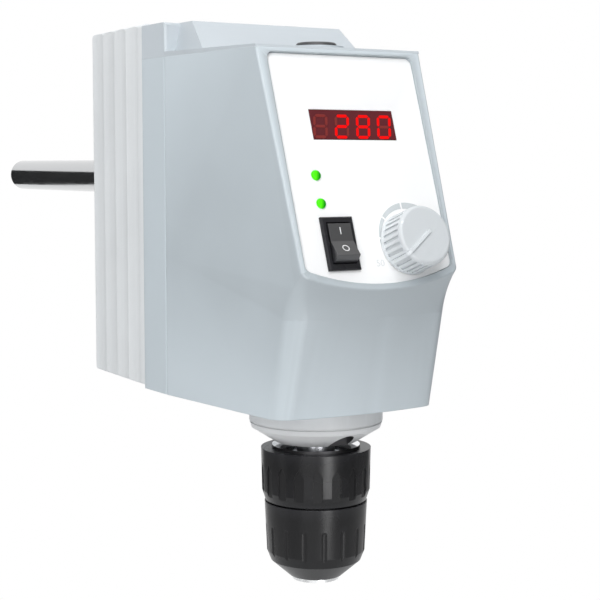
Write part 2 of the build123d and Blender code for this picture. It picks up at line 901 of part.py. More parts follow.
def slot_plane(turn):
    """The plane of a grip slot's floor, local x round the knob and y along its side."""
    section = knob_section(turn)
    upward = section.y_dir * cos(knob_lean) - section.x_dir * sin(knob_lean)
    rise = knob_slot_foot + knob_slot_length / 2
    floor_radius = knob_side_radius - knob_slot_depth - (rise - knob_flare_height) * tan(knob_lean)
    spot = section.from_local_coords((floor_radius, rise, 0))
    round_dir = upward.cross(section.x_dir)
    return Plane(origin=spot, x_dir=round_dir, z_dir=round_dir.cross(upward))


with BuildPart() as speed_knob:
    with BuildSketch(knob_section(0.0)) as knob_profile:
        with BuildLine():
            Polyline(
                (0, 0),
                (knob_foot_radius, 0),
                (knob_side_radius, knob_flare_height),
                (knob_face_radius, knob_height),
                (0, knob_height),
                close=True,
            )
        make_face()
        face_corner = knob_profile.vertices().group_by(Axis.Y)[-1].sort_by(Axis.X)[-1]
        fillet(face_corner, knob_edge)
    revolve(axis=Axis(knob_centre.origin, knob_centre.z_dir))
    with BuildSketch(*[slot_plane(2 * pi * i / knob_slot_count) for i in range(knob_slot_count)]):
        SlotOverall(knob_slot_length, knob_slot_width, rotation=90)
    extrude(amount=knob_slot_depth + cut_spare, mode=Mode.SUBTRACT)
    with BuildSketch(knob_section(radians(pointer_angle), -pointer_width / 2)) as pointer_profile:
        with BuildLine():
            pointer_end = knob_side_radius + pointer_height
            pointer_top = knob_height + pointer_height
            Polyline(
                (-pointer_tail, knob_height - knob_shell / 2),
                (-pointer_tail, pointer_top),
                (pointer_end, pointer_top),
                (pointer_end, pointer_foot),
                (knob_face_radius - knob_shell / 2, pointer_foot),
                (knob_face_radius - knob_shell / 2, knob_height - knob_shell / 2),
                close=True,
            )
        make_face()
        pointer_corner = pointer_profile.vertices().group_by(Axis.Y)[-1].sort_by(Axis.X)[-1]
        fillet(pointer_corner, knob_edge + pointer_height)
    extrude(amount=pointer_width)
    with BuildSketch(knob_centre):
        Circle(knob_face_radius - knob_shell)
    extrude(amount=knob_height - knob_shell, mode=Mode.SUBTRACT)
    with BuildSketch(on_panel(*knob_place, hub_foot)):
        Circle(knob_hub_radius)
    extrude(amount=shaft_top - hub_foot)
    with BuildSketch(on_panel(*knob_place, hub_foot)):
        Circle(pot_shaft_radius)
    extrude(amount=shaft_top - hub_foot, mode=Mode.SUBTRACT)
speed_knob.part.label = "speed_knob"
export_step(speed_knob.part, "parts/speed_knob.step")

with BuildPart() as potentiometer:
    with BuildSketch(on_panel(*knob_place, panel_back)):
        Circle(pot_body_radius)
    extrude(amount=-pot_body_depth)
    with BuildSketch(on_panel(*knob_place, panel_back)):
        Circle(pot_bush_radius)
    extrude(amount=pot_bush_length)
    with BuildSketch(on_panel(*knob_place, bush_top)):
        Circle(pot_shaft_radius + pot_running_gap)
    extrude(amount=-(pot_bush_length + pot_shaft_depth + ring_clearance), mode=Mode.SUBTRACT)
potentiometer.part.label = "potentiometer"
export_step(potentiometer.part, "parts/potentiometer.step")

with BuildPart() as pot_shaft:
    with BuildSketch(on_panel(*knob_place, panel_back - pot_shaft_depth)):
        Circle(pot_shaft_radius)
    extrude(amount=shaft_top - panel_back + pot_shaft_depth)
pot_shaft.part.label = "pot_shaft"
export_step(pot_shaft.part, "parts/pot_shaft.step")

with BuildPart() as pot_nut:
    with BuildSketch(on_panel(*knob_place, panel_front)):
        RegularPolygon(pot_nut_radius, hexagon_side_count, major_radius=False)
        Circle(pot_bush_radius, mode=Mode.SUBTRACT)
    extrude(amount=pot_nut_height)
pot_nut.part.label = "pot_nut"
export_step(pot_nut.part, "parts/pot_nut.step")

# Hollow spindle, open from end to end
lower_bearing_top = lower_bearing_foot + bearing_width
coil_top = bracket_top + core_lift + core_height + coil_overhang
hub_foot_height = coil_top + hall_board_thickness + hub_headroom
upper_bearing_foot = hub_foot_height + bearing_hub_lip
can_top = upper_bearing_foot + bearing_width
seal_foot = lower_bearing_foot - seal_height

with BuildPart() as spindle:
    with BuildSketch(Plane.XY.offset(spindle_foot)):
        Circle(spindle_radius)
    extrude(amount=spindle_top - spindle_foot)
    with BuildSketch(Plane.XY.offset(seal_foot)):
        Circle(shoulder_radius)
    extrude(amount=seal_height)
    with BuildSketch(Plane.XY.offset(can_top)):
        Circle(spindle_radius)
        Circle(spindle_radius - circlip_depth, mode=Mode.SUBTRACT)
    extrude(amount=circlip_width, mode=Mode.SUBTRACT)
    with BuildSketch(Plane.XY.offset(spindle_foot)):
        Circle(bore_radius)
    extrude(amount=spindle_top - spindle_foot, mode=Mode.SUBTRACT)
spindle.part.label = "spindle"
export_step(spindle.part, "parts/spindle.step")

with BuildPart() as spindle_circlip:
    with BuildSketch(Plane.XZ):
        with Locations((spindle_radius - circlip_depth + circlip_wall / 2, can_top + circlip_width / 2)):
            Rectangle(circlip_wall, circlip_width)
    revolve(axis=Axis.Z, revolution_arc=360 - circlip_opening)
spindle_circlip.part.label = "spindle_circlip"
export_step(spindle_circlip.part, "parts/spindle_circlip.step")

# Two ball bearings
inner_ring_radius = spindle_radius + inner_ring_wall
outer_ring_bore = bearing_outer_radius - outer_ring_wall
ball_circle = (inner_ring_radius + outer_ring_bore) / 2


def bearing_ring(foot, inner, outer):
    """One ring of a ball bearing, with the groove that the balls run in."""
    middle = foot + bearing_width / 2
    with BuildPart() as ring:
        with BuildSketch(Plane.XZ):
            with Locations(((inner + outer) / 2, middle)):
                Rectangle(outer - inner, bearing_width)
            with Locations((ball_circle, middle)):
                Circle(ball_radius + ball_play, mode=Mode.SUBTRACT)
        revolve(axis=Axis.Z)
    return ring.part


for place, foot in (("lower", lower_bearing_foot), ("upper", upper_bearing_foot)):
    outer_ring = bearing_ring(foot, outer_ring_bore, bearing_outer_radius)
    outer_ring.label = f"{place}_bearing_outer"
    export_step(outer_ring, f"parts/{place}_bearing_outer.step")
    inner_ring = bearing_ring(foot, spindle_radius, inner_ring_radius)
    inner_ring.label = f"{place}_bearing_inner"
    export_step(inner_ring, f"parts/{place}_bearing_inner.step")

with BuildPart() as bearing_balls:
    for foot in (lower_bearing_foot, upper_bearing_foot):
        with Locations((0, 0, foot + bearing_width / 2)):
            with PolarLocations(ball_circle, ball_count):
                Sphere(ball_radius)
bearing_balls.part.label = "bearing_balls"
export_step(bearing_balls.part, "parts/bearing_balls.step")

# Collar under the body, with the lower bearing, the seal and the lock pin's hole
collar_foot = floor_height - collar_drop
groove_foot = floor_height - collar_straight - collar_groove_height
spigot_bore = collar_spigot_radius - collar_spigot_wall
collar_screw_drill = collar_screw_grip + cut_spare

with BuildPart() as bearing_collar:
    with BuildSketch(Plane.XZ):
        with BuildLine():
            Polyline(
                (bearing_outer_radius, collar_foot),
                (collar_mouth_radius, collar_foot),
                (collar_radius - collar_rim, groove_foot - collar_shoulder),
                (collar_radius - collar_rim / 4, groove_foot),
                (collar_radius - collar_groove_depth, groove_foot),
                (collar_radius - collar_groove_depth, floor_height - collar_straight),
                (collar_radius, floor_height - collar_straight),
                (collar_radius, floor_height),
                (collar_spigot_radius, floor_height),
                (collar_spigot_radius, bracket_foot),
                (spigot_bore, bracket_foot),
                (spigot_bore, lower_bearing_top + collar_lip_thickness),
                (collar_lip_radius, lower_bearing_top + collar_lip_thickness),
                (collar_lip_radius, lower_bearing_top),
                (bearing_outer_radius, lower_bearing_top),
                close=True,
            )
        make_face()
    revolve(axis=Axis.Z)
    with BuildSketch(Plane.XZ.offset(lock_hole_floor)):
        with Locations((0, collar_foot + lock_hole_rise)):
            Circle(lock_hole_radius)
    extrude(amount=collar_radius - lock_hole_floor, mode=Mode.SUBTRACT)
    with BuildSketch(Plane.XY.offset(floor_height - collar_screw_drill)):
        with PolarLocations(collar_screw_circle, collar_screw_count):
            Circle(screw_thread)
    extrude(amount=collar_screw_drill, mode=Mode.SUBTRACT)
bearing_collar.part.label = "bearing_collar"
export_step(bearing_collar.part, "parts/bearing_collar.step")

with BuildPart() as collar_screws:
    with BuildSketch(Plane.XY.offset(floor_top)):
        with PolarLocations(collar_screw_circle, collar_screw_count):
            Circle(screw_head)
    extrude(amount=screw_head_height)
    with BuildSketch(Plane.XY.offset(floor_height - collar_screw_grip)):
        with PolarLocations(collar_screw_circle, collar_screw_count):
            Circle(screw_thread - screw_fit)
    extrude(amount=collar_screw_grip + floor_thickness)
collar_screws.part.label = "collar_screws"
export_step(collar_screws.part, "parts/collar_screws.step")

with BuildPart() as shaft_seal:
    with BuildSketch(Plane.XY.offset(seal_foot)):
        Circle(bearing_outer_radius)
        Circle(shoulder_radius + seal_play, mode=Mode.SUBTRACT)
    extrude(amount=seal_height)
shaft_seal.part.label = "shaft_seal"
export_step(shaft_seal.part, "parts/shaft_seal.step")

# Motor: bracket, can with the upper bearing, stator and rotor
with BuildPart() as motor_bracket:
    with BuildSketch(Plane.XY.offset(bracket_foot)):
        with Locations((0, bracket_shift)):
            RectangleRounded(2 * bracket_half_width, bracket_depth, bracket_corner)
        Circle(collar_lip_radius, mode=Mode.SUBTRACT)
        with Locations(boss_places):
            Circle(screw_thread + screw_hole_play, mode=Mode.SUBTRACT)
    extrude(amount=bracket_thickness)
motor_bracket.part.label = "motor_bracket"
export_step(motor_bracket.part, "parts/motor_bracket.step")

with BuildPart() as motor_screws:
    with BuildSketch(Plane.XY.offset(bracket_top)):
        with Locations(boss_places):
            Circle(screw_head)
    extrude(amount=screw_head_height)
    with BuildSketch(Plane.XY.offset(floor_top)):
        with Locations(boss_places):
            Circle(screw_thread - screw_fit)
    extrude(amount=bracket_top - floor_top)
motor_screws.part.label = "motor_screws"
export_step(motor_screws.part, "parts/motor_screws.step")

hub_outer = bearing_outer_radius + bearing_hub_wall
can_inner = can_radius - can_wall

with BuildPart() as motor_housing:
    with BuildSketch(Plane.XY.offset(bracket_top)):
        Circle(can_radius)
    extrude(amount=can_top - bracket_top)
    fillet(motor_housing.faces().sort_by(Axis.Z)[-1].edges(), can_round)
    with BuildSketch(Plane.XY.offset(bracket_top)):
        Circle(can_inner)
    extrude(amount=can_top - can_top_thickness - bracket_top, mode=Mode.SUBTRACT)
    with BuildSketch(Plane.XY.offset(hub_foot_height)):
        Circle(hub_outer)
    extrude(amount=can_top - can_top_thickness - hub_foot_height)
    with BuildSketch(Plane.XY.offset(upper_bearing_foot)):
        Circle(bearing_outer_radius)
    extrude(amount=bearing_width, mode=Mode.SUBTRACT)
    with BuildSketch(Plane.XY.offset(hub_foot_height)):
        Circle(outer_ring_bore)
    extrude(amount=bearing_hub_lip, mode=Mode.SUBTRACT)
motor_housing.part.label = "motor_housing"
export_step(motor_housing.part, "parts/motor_housing.step")

core_foot = bracket_top + core_lift
tooth_tip_radius = rotor_radius + rotor_gap
core_ring_bore = can_inner - core_ring

with BuildPart() as stator_core:
    with BuildSketch(Plane.XY.offset(core_foot)):
        Circle(can_inner)
        Circle(core_ring_bore, mode=Mode.SUBTRACT)
        tooth_length = core_ring_bore + core_ring / 2 - tooth_tip_radius
        with PolarLocations(tooth_tip_radius + tooth_length / 2, tooth_count):
            Rectangle(tooth_length, tooth_width)
        with PolarLocations(tooth_tip_radius + tooth_tip_depth / 2, tooth_count):
            Rectangle(tooth_tip_depth, tooth_tip_width)
        Circle(tooth_tip_radius, mode=Mode.SUBTRACT)
    extrude(amount=core_height)
stator_core.part.label = "stator_core"
export_step(stator_core.part, "parts/stator_core.step")

coil_inner = tooth_tip_radius + tooth_tip_depth + coil_gap
coil_length = sqrt(core_ring_bore**2 - (coil_width / 2) ** 2) - coil_gap - coil_inner
coil_foot = core_foot - coil_overhang
coil_height = core_height + 2 * coil_overhang

with BuildPart() as stator_coils:
    with BuildSketch(Plane.XY.offset(coil_foot)):
        with PolarLocations(coil_inner + coil_length / 2, tooth_count):
            Rectangle(coil_length, coil_width)
    extrude(amount=coil_height)
    with BuildSketch(Plane.XY.offset(core_foot)):
        with PolarLocations(coil_inner + coil_length / 2, tooth_count):
            Rectangle(coil_length, tooth_width)
    extrude(amount=core_height, mode=Mode.SUBTRACT)
stator_coils.part.label = "stator_coils"
export_step(stator_coils.part, "parts/stator_coils.step")

with BuildPart() as hall_board:
    with BuildSketch(Plane.XY.offset(coil_top)):
        Circle(can_inner)
        Circle(hub_outer + hall_board_play, mode=Mode.SUBTRACT)
    extrude(amount=hall_board_thickness)
hall_board.part.label = "hall_board"
export_step(hall_board.part, "parts/hall_board.step")

magnet_bore = rotor_radius - magnet_thickness

with BuildPart() as rotor_core:
    with BuildSketch(Plane.XY.offset(core_foot)):
        Circle(magnet_bore)
        Circle(spindle_radius, mode=Mode.SUBTRACT)
    extrude(amount=core_height)
rotor_core.part.label = "rotor_core"
export_step(rotor_core.part, "parts/rotor_core.step")

with BuildPart() as rotor_magnets:
    with BuildSketch(Plane.XY.offset(core_foot)):
        Circle(rotor_radius)
        Circle(magnet_bore, mode=Mode.SUBTRACT)
        with PolarLocations((magnet_bore + rotor_radius) / 2, magnet_count):
            Rectangle(2 * magnet_thickness, magnet_play, mode=Mode.SUBTRACT)
    extrude(amount=core_height)
rotor_magnets.part.label = "rotor_magnets"
export_step(rotor_magnets.part, "parts/rotor_magnets.step")

# Motor driver on pillars inside the casting
casting_inner_back = casting_back - casting_wall
casting_inner_half = half_width - casting_inset - casting_taper - casting_wall
driver_board_size = (2 * (casting_inner_half - driver_board_play), driver_board_length)
driver_board_back = casting_inner_back - pillar_length
driver_board_front = driver_board_back - board_thickness
pillar_spots = [
    (x, z)
    for x in (pillar_inset - driver_board_size[0] / 2, driver_board_size[0] / 2 - pillar_inset)
    for z in (
        driver_board_centre + pillar_inset - driver_board_size[1] / 2,
        driver_board_centre - pillar_inset + driver_board_size[1] / 2,
    )
]

with BuildPart() as board_pillars:
    with BuildSketch(Plane.XZ.offset(-casting_inner_back)):
        with Locations(pillar_spots):
            Circle(pillar_radius)
    extrude(amount=pillar_length)
board_pillars.part.label = "board_pillars"
export_step(board_pillars.part, "parts/board_pillars.step")

with BuildPart() as driver_board:
    with BuildSketch(Plane.XZ.offset(-driver_board_back)):
        with Locations((0, driver_board_centre)):
            Rectangle(*driver_board_size)
    extrude(amount=board_thickness)
driver_board.part.label = "driver_board"
export_step(driver_board.part, "parts/driver_board.step")

with BuildPart() as capacitors:
    with BuildSketch(Plane.XZ.offset(-driver_board_front)):
        with Locations((0, driver_board_centre - capacitor_drop)):
            with GridLocations(capacitor_pitch, 0, capacitor_count, 1):
                Circle(capacitor_radius)
    extrude(amount=capacitor_length)
capacitors.part.label = "capacitors"
export_step(capacitors.part, "parts/capacitors.step")

heat_pad_front = casting_inner_back - heat_pad_thickness
transistor_row = (transistor_count - 1) * transistor_pitch + transistor_size[0]

with BuildPart() as heat_pad:
    with BuildSketch(Plane.XZ.offset(-casting_inner_back)):
        with Locations((0, transistor_height)):
            Rectangle(transistor_row + 2 * heat_pad_margin, transistor_size[1] + 2 * heat_pad_margin)
    extrude(amount=heat_pad_thickness)
heat_pad.part.label = "heat_pad"
export_step(heat_pad.part, "parts/heat_pad.step")

with BuildPart() as power_transistors:
    with BuildSketch(Plane.XZ.offset(-heat_pad_front)):
        with Locations((0, transistor_height)):
            with GridLocations(transistor_pitch, 0, transistor_count, 1):
                Rectangle(*transistor_size[:2])
    extrude(amount=transistor_size[2])
    with BuildSketch(Plane.XZ.offset(-(heat_pad_front - transistor_size[2]))):
        with Locations((0, transistor_height - lead_drop)):
            with GridLocations(transistor_pitch, 0, transistor_count, 1):
                with GridLocations(lead_pitch, 0, lead_count, 1):
                    Rectangle(*lead_size)
    extrude(amount=heat_pad_front - transistor_size[2] - driver_board_back)
power_transistors.part.label = "power_transistors"
export_step(power_transistors.part, "parts/power_transistors.step")

# Support rod and the bolt that holds it
with BuildPart() as support_rod:
    with BuildSketch(Plane.XZ.offset(-rod_foot)):
        with Locations((0, rod_height)):
            Circle(rod_spigot_radius)
    extrude(amount=-rod_socket_depth)
    with BuildSketch(Plane.XZ.offset(-rod_boss_end)):
        with Locations((0, rod_height)):
            Circle(rod_radius)
    extrude(amount=-(casting_back + rod_reach - rod_boss_end))
    chamfer(support_rod.faces().sort_by(Axis.Y)[-1].edges(), rod_chamfer)
    with BuildSketch(Plane.XZ.offset(-rod_foot)):
        with Locations((0, rod_height)):
            Circle(rod_bolt_radius)
    extrude(amount=-rod_bolt_grip, mode=Mode.SUBTRACT)
support_rod.part.label = "support_rod"
export_step(support_rod.part, "parts/support_rod.step")

with BuildPart() as rod_bolt:
    with BuildSketch(Plane.XZ.offset(-socket_end)):
        with Locations((0, rod_height)):
            Circle(rod_bolt_head_radius)
    extrude(amount=rod_bolt_head_height)
    with BuildSketch(Plane.XZ.offset(-socket_end)):
        with Locations((0, rod_height)):
            Circle(rod_bolt_radius - screw_fit)
    extrude(amount=-(rod_socket_end + rod_bolt_grip))
rod_bolt.part.label = "rod_bolt"
export_step(rod_bolt.part, "parts/rod_bolt.step")

# Power inlet with three flat pins
inlet_face = casting_back + inlet_flange_thickness
inlet_floor = inlet_face - inlet_recess_depth
inlet_back = casting_back - inlet_body_depth
pin_spots = [(-inlet_pin_spread, -inlet_pin_rise), (0, inlet_pin_rise), (inlet_pin_spread, -inlet_pin_rise)]

with BuildPart() as inlet_socket:
    with BuildSketch(Plane.XZ.offset(-inlet_face)):
        with Locations((0, inlet_height)):
            RectangleRounded(*inlet_flange, inlet_corner)
    extrude(amount=inlet_flange_thickness)
    with BuildSketch(Plane.XZ.offset(-casting_back)):
        with Locations((0, inlet_height)):
            Rectangle(*inlet_body)
    extrude(amount=inlet_body_depth)
    with BuildSketch(Plane.XZ.offset(-inlet_face)) as recess:
        with Locations((0, inlet_height)):
            Rectangle(*inlet_recess)
        chamfer(recess.vertices().group_by(Axis.Y)[-1], inlet_recess_corner)
    extrude(amount=inlet_recess_depth, mode=Mode.SUBTRACT)
    with BuildSketch(Plane.XZ.offset(-inlet_floor)):
        with Locations((0, inlet_height)):
            with Locations(pin_spots):
                Rectangle(*inlet_pin_size[:2])
    extrude(amount=inlet_floor - inlet_back, mode=Mode.SUBTRACT)
inlet_socket.part.label = "inlet_socket"
export_step(inlet_socket.part, "parts/inlet_socket.step")

with BuildPart() as inlet_pins:
    with BuildSketch(Plane.XZ.offset(-(inlet_floor + inlet_pin_size[2]))):
        with Locations((0, inlet_height)):
            with Locations(pin_spots):
                Rectangle(*inlet_pin_size[:2])
    extrude(amount=inlet_pin_size[2] + inlet_floor - inlet_back + inlet_pin_tab)
inlet_pins.part.label = "inlet_pins"
export_step(inlet_pins.part, "parts/inlet_pins.step")

# Long screws from the casting's back into the middle frame
with BuildPart() as case_screws:
    with BuildSketch(Plane.XZ.offset(-casting_back)):
        with Locations(case_screw_places):
            Circle(case_screw_head_radius)
    extrude(amount=-case_screw_head_height)
    with BuildSketch(Plane.XZ.offset(-(casting_back + case_screw_head_height))):
        with Locations(case_screw_places):
            RegularPolygon(hex_socket_radius, hexagon_side_count)
    extrude(amount=case_screw_head_height / 2, mode=Mode.SUBTRACT)
    with BuildSketch(Plane.XZ.offset(-casting_back)):
        with Locations(case_screw_places):
            Circle(case_screw_radius - screw_fit)
    extrude(amount=casting_back - frame_back + case_screw_grip)
case_screws.part.label = "case_screws"
export_step(case_screws.part, "parts/case_screws.step")

# Keyless chuck: body, rear sleeve pressed on it, and the sleeve that drives the jaws
jaw_lean = radians(jaw_angle)
nut_top = nut_foot + nut_height
washer_top = nut_top + thrust_washer_height
hub_shoulder = washer_top + jaw_clearance
nose_slope = (nose_mid_radius - nose_foot_radius) / (nose_mid - nose_foot)
sleeve_mouth = nose_foot_radius - nose_wall
core_nose_radius = sleeve_mouth - jaw_clearance
core_nose_top = nose_foot + (core_radius - core_nose_radius) / nose_slope
sleeve_bore = hub_radius + jaw_clearance
front_sleeve_top = rear_sleeve_foot - sleeve_split


def jaw_reach(z, margin=0.0):
    """How far from the chuck's axis a jaw reaches at a height, with a margin round it."""
    return jaw_axis_radius + z * tan(jaw_lean) + (jaw_radius + margin) / cos(jaw_lean)


def jaw_plane(number, up_axis):
    """The plane across a jaw, at a distance along the jaw's axis from the height of the origin."""
    turn = 2 * pi * number / jaw_count - pi / 2
    outward = Vector(cos(turn), sin(turn), 0)
    along = outward * sin(jaw_lean) + Vector(0, 0, cos(jaw_lean))
    across = Vector(-sin(turn), cos(turn), 0)
    return Plane(origin=outward * jaw_axis_radius + along * up_axis, x_dir=across, z_dir=along)


jaw_start = jaw_tip_height / cos(jaw_lean)

with BuildPart() as chuck_body:
    with BuildSketch(Plane.XZ):
        with BuildLine():
            Polyline(
                (0, nose_ring_height),
                (core_nose_radius, nose_ring_height),
                (core_nose_radius, nose_foot),
                (core_radius, core_nose_top),
                (core_radius, hub_shoulder),
                (hub_radius, hub_shoulder),
                (hub_radius, chuck_top),
                (0, chuck_top),
                close=True,
            )
        make_face()
    revolve(axis=Axis.Z)
    with BuildSketch(Plane.XY.offset(nose_ring_height)):
        Circle(bore_radius)
    extrude(amount=spindle_foot - nose_ring_height, mode=Mode.SUBTRACT)
    with BuildSketch(Plane.XY.offset(spindle_foot)):
        Circle(spindle_radius)
    extrude(amount=chuck_top - spindle_foot, mode=Mode.SUBTRACT)
    for number in range(jaw_count):
        with BuildSketch(jaw_plane(number, -jaw_hole_spare)):
            Circle(jaw_radius + jaw_clearance)
        extrude(amount=jaw_start + jaw_length + 2 * jaw_hole_spare, mode=Mode.SUBTRACT)
chuck_body.part.label = "chuck_body"
export_step(chuck_body.part, "parts/chuck_body.step")

rear_foot_radius = rear_sleeve_radius - rear_sleeve_taper
sleeve_lean = atan2(rear_sleeve_taper, rear_sleeve_top - rear_sleeve_foot - rear_sleeve_chamfer_height)

with BuildPart(mode=Mode.PRIVATE) as arch_form:
    arch_face = Plane(
        origin=(rear_sleeve_radius - flat_depth, 0, rear_sleeve_top),
        x_dir=(0, 1, 0),
        z_dir=(cos(sleeve_lean), 0, -sin(sleeve_lean)),
    )
    with BuildSketch(arch_face):
        with BuildLine():
            half_flat = flat_width / 2
            arch_foot = rear_sleeve_foot - rear_sleeve_top - cut_spare
            Polyline(
                (-half_flat, arch_foot),
                (half_flat, arch_foot),
                (half_flat, -flat_tip_drop - flat_point),
                (0, -flat_tip_drop),
                (-half_flat, -flat_tip_drop - flat_point),
                close=True,
            )
        make_face()
    extrude(amount=flat_depth + cut_spare)
arch_cutter = arch_form.part

with BuildPart() as chuck_rear_sleeve:
    with BuildSketch(Plane.XZ):
        with BuildLine():
            Polyline(
                (hub_radius, rear_sleeve_foot),
                (rear_sleeve_chamfer_radius, rear_sleeve_foot),
                (rear_foot_radius, rear_sleeve_foot + rear_sleeve_chamfer_height),
                (rear_sleeve_radius, rear_sleeve_top),
                (hub_radius, rear_sleeve_top),
                close=True,
            )
        make_face()
    revolve(axis=Axis.Z)
    with PolarLocations(0, flat_count):
        add(arch_cutter, mode=Mode.SUBTRACT)
chuck_rear_sleeve.part.label = "chuck_rear_sleeve"
export_step(chuck_rear_sleeve.part, "parts/chuck_rear_sleeve.step")

nose_start_radius = front_sleeve_radius - front_sleeve_taper
front_lean = atan2(front_sleeve_taper, front_sleeve_top - nose_start)
flute_length = front_sleeve_top - sleeve_flute_drop - nose_mid

with BuildPart(mode=Mode.PRIVATE) as sleeve_flute_form:
    flute_start = Plane(
        origin=(
            front_sleeve_radius - sleeve_flute_depth + sleeve_flute_radius,
            0,
            front_sleeve_top - sleeve_flute_drop - sleeve_flute_radius,
        ),
        x_dir=(0, 1, 0),
        z_dir=(-sin(front_lean), 0, -cos(front_lean)),
    )
    with BuildSketch(flute_start):
        Circle(sleeve_flute_radius)
    extrude(amount=flute_length + sleeve_flute_radius)
    fillet(sleeve_flute_form.faces().sort_by(Axis.Z)[-1].edges(), sleeve_flute_round)
flute_cutter = sleeve_flute_form.part

with BuildPart() as chuck_front_sleeve:
    with BuildSketch(Plane.XZ):
        with BuildLine():
            Polyline(
                (sleeve_mouth, nose_foot),
                (nose_foot_radius, nose_foot),
                (nose_mid_radius, nose_mid),
                (nose_start_radius, nose_start),
                (front_sleeve_radius, front_sleeve_top),
                (sleeve_bore, front_sleeve_top),
                (sleeve_bore, nose_start),
                (nose_mid_radius - nose_wall, nose_mid),
                close=True,
            )
        make_face()
    revolve(axis=Axis.Z)
    with PolarLocations(0, sleeve_flute_count):
        add(flute_cutter, mode=Mode.SUBTRACT)
chuck_front_sleeve.part.label = "chuck_front_sleeve"
export_step(chuck_front_sleeve.part, "parts/chuck_front_sleeve.step")

with BuildPart() as chuck_nut:
    with BuildSketch(Plane.XZ):
        with BuildLine():
            Polyline(
                (jaw_reach(nut_foot, jaw_clearance), nut_foot),
                (sleeve_bore, nut_foot),
                (sleeve_bore, nut_top),
                (jaw_reach(nut_top, jaw_clearance), nut_top),
                close=True,
            )
        make_face()
    revolve(axis=Axis.Z)
chuck_nut.part.label = "chuck_nut"
export_step(chuck_nut.part, "parts/chuck_nut.step")

with BuildPart() as thrust_washer:
    with BuildSketch(Plane.XY.offset(nut_top)):
        Circle(hub_radius)
        Circle(jaw_reach(washer_top, jaw_clearance), mode=Mode.SUBTRACT)
    extrude(amount=thrust_washer_height)
thrust_washer.part.label = "thrust_washer"
export_step(thrust_washer.part, "parts/thrust_washer.step")

with BuildPart() as chuck_nose_ring:
    with BuildSketch(Plane.XY):
        Circle(nose_ring_radius)
        Circle(jaw_reach(nose_ring_height, jaw_clearance), mode=Mode.SUBTRACT)
    extrude(amount=nose_ring_height)
chuck_nose_ring.part.label = "chuck_nose_ring"
export_step(chuck_nose_ring.part, "parts/chuck_nose_ring.step")

# Three jaws, wide open: they close as they slide down their slanting holes
wedge_apex = jaw_travel * sin(jaw_lean) + jaw_wedge_gap
wedge_reach = jaw_start + jaw_length + cut_spare

for number in range(jaw_count):
    turn = 2 * pi * number / jaw_count - pi / 2
    with BuildPart() as jaw:
        with BuildSketch(jaw_plane(number, jaw_start)):
            Circle(jaw_radius)
        extrude(amount=jaw_length)
        with BuildSketch(Plane.XY.offset(-wedge_reach)):
            Circle(jaw_open_radius)
        extrude(amount=3 * wedge_reach, mode=Mode.SUBTRACT)
        wedge_plane = Plane(
            origin=(wedge_apex * cos(turn), wedge_apex * sin(turn), -wedge_reach),
            x_dir=(cos(turn), sin(turn), 0),
            z_dir=(0, 0, 1),
        )
        with BuildSketch(wedge_plane):
            with BuildLine():
                rise = wedge_reach * tan(radians(180 / jaw_count))
                Polyline((0, 0), (wedge_reach, rise), (wedge_reach, -rise), close=True)
            make_face()
        extrude(amount=3 * wedge_reach, mode=Mode.INTERSECT)
    jaw.part.label = f"jaw_{number + 1}"
    export_step(jaw.part, f"parts/jaw_{number + 1}.step")
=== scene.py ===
import json
from math import cos, degrees, hypot, pi, radians, sin, tan

import bmesh
import bpy
from mathutils import Matrix, Vector


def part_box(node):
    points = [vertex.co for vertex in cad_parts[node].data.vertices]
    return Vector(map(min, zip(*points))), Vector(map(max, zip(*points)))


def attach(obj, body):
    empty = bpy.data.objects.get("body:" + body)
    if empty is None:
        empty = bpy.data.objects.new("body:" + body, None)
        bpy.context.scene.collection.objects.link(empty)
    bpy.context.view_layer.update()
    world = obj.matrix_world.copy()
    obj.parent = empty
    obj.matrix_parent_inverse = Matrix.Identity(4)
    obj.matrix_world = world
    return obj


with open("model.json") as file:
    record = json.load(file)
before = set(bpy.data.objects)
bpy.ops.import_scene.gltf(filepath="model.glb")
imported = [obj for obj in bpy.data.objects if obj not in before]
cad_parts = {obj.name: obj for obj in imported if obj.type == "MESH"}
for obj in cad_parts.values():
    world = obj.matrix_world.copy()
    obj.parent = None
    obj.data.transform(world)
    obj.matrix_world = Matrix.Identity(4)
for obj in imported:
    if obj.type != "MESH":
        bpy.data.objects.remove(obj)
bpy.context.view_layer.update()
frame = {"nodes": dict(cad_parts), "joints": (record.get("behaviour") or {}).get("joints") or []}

MM = 0.001
nodes = frame["nodes"]
joints = {joint["name"]: joint for joint in frame["joints"]}

# The bezel's plane, on which the knob's joint lies, and how far the panel is sunk behind it
knob_axis = Vector(joints["speed_knob_turn"]["axis"])
knob_centre = Vector(joints["speed_knob_turn"]["pos_m"])
panel_out = -knob_axis
panel_across = Vector((1, 0, 0))
panel_up = panel_out.cross(panel_across)
panel_sunk = 1.2 * MM

# Printed and lit marks stand this far off what carries them, and are this thick
print_lift = 0.03 * MM
print_thickness = 0.04 * MM

# Display: the window's middle from the knob's joint, and the figures behind the window
window_low, window_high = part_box("display_window")
window_middle = (window_low + window_high) / 2 - knob_centre
window_across = window_middle.dot(panel_across)
window_up = window_middle.dot(panel_up)
window_lift = 0.2 * MM
reading = " 280"
digit_pitch = 9.4 * MM
digit_width = 6.3 * MM
digit_height = 9.4 * MM
digit_slant = 0.18
digit_drop = 0.75 * MM
digit_row_shift = -0.6 * MM
segment_width = 1.15 * MM
segment_gap = 0.2 * MM

# Dial: a wedge of grey print round the knob, cut by ticks, with a number.
# Its turns are clockwise from straight up.
dial_rise = 1.7 * MM
dial_aside = 1.2 * MM
dial_inner = 12.1 * MM
dial_start = 34
dial_end = -126
dial_thick = 2.8 * MM
dial_thin = 0.4 * MM
dial_ticks = (-3, -48, -86)
dial_steps = 14
tick_width = 0.7 * MM
dial_number = "50"
number_turn = -117
number_reach = 15.1 * MM
number_height = 2.6 * MM

# How high a figure is, as a share of its font's size
figure_share = 0.7

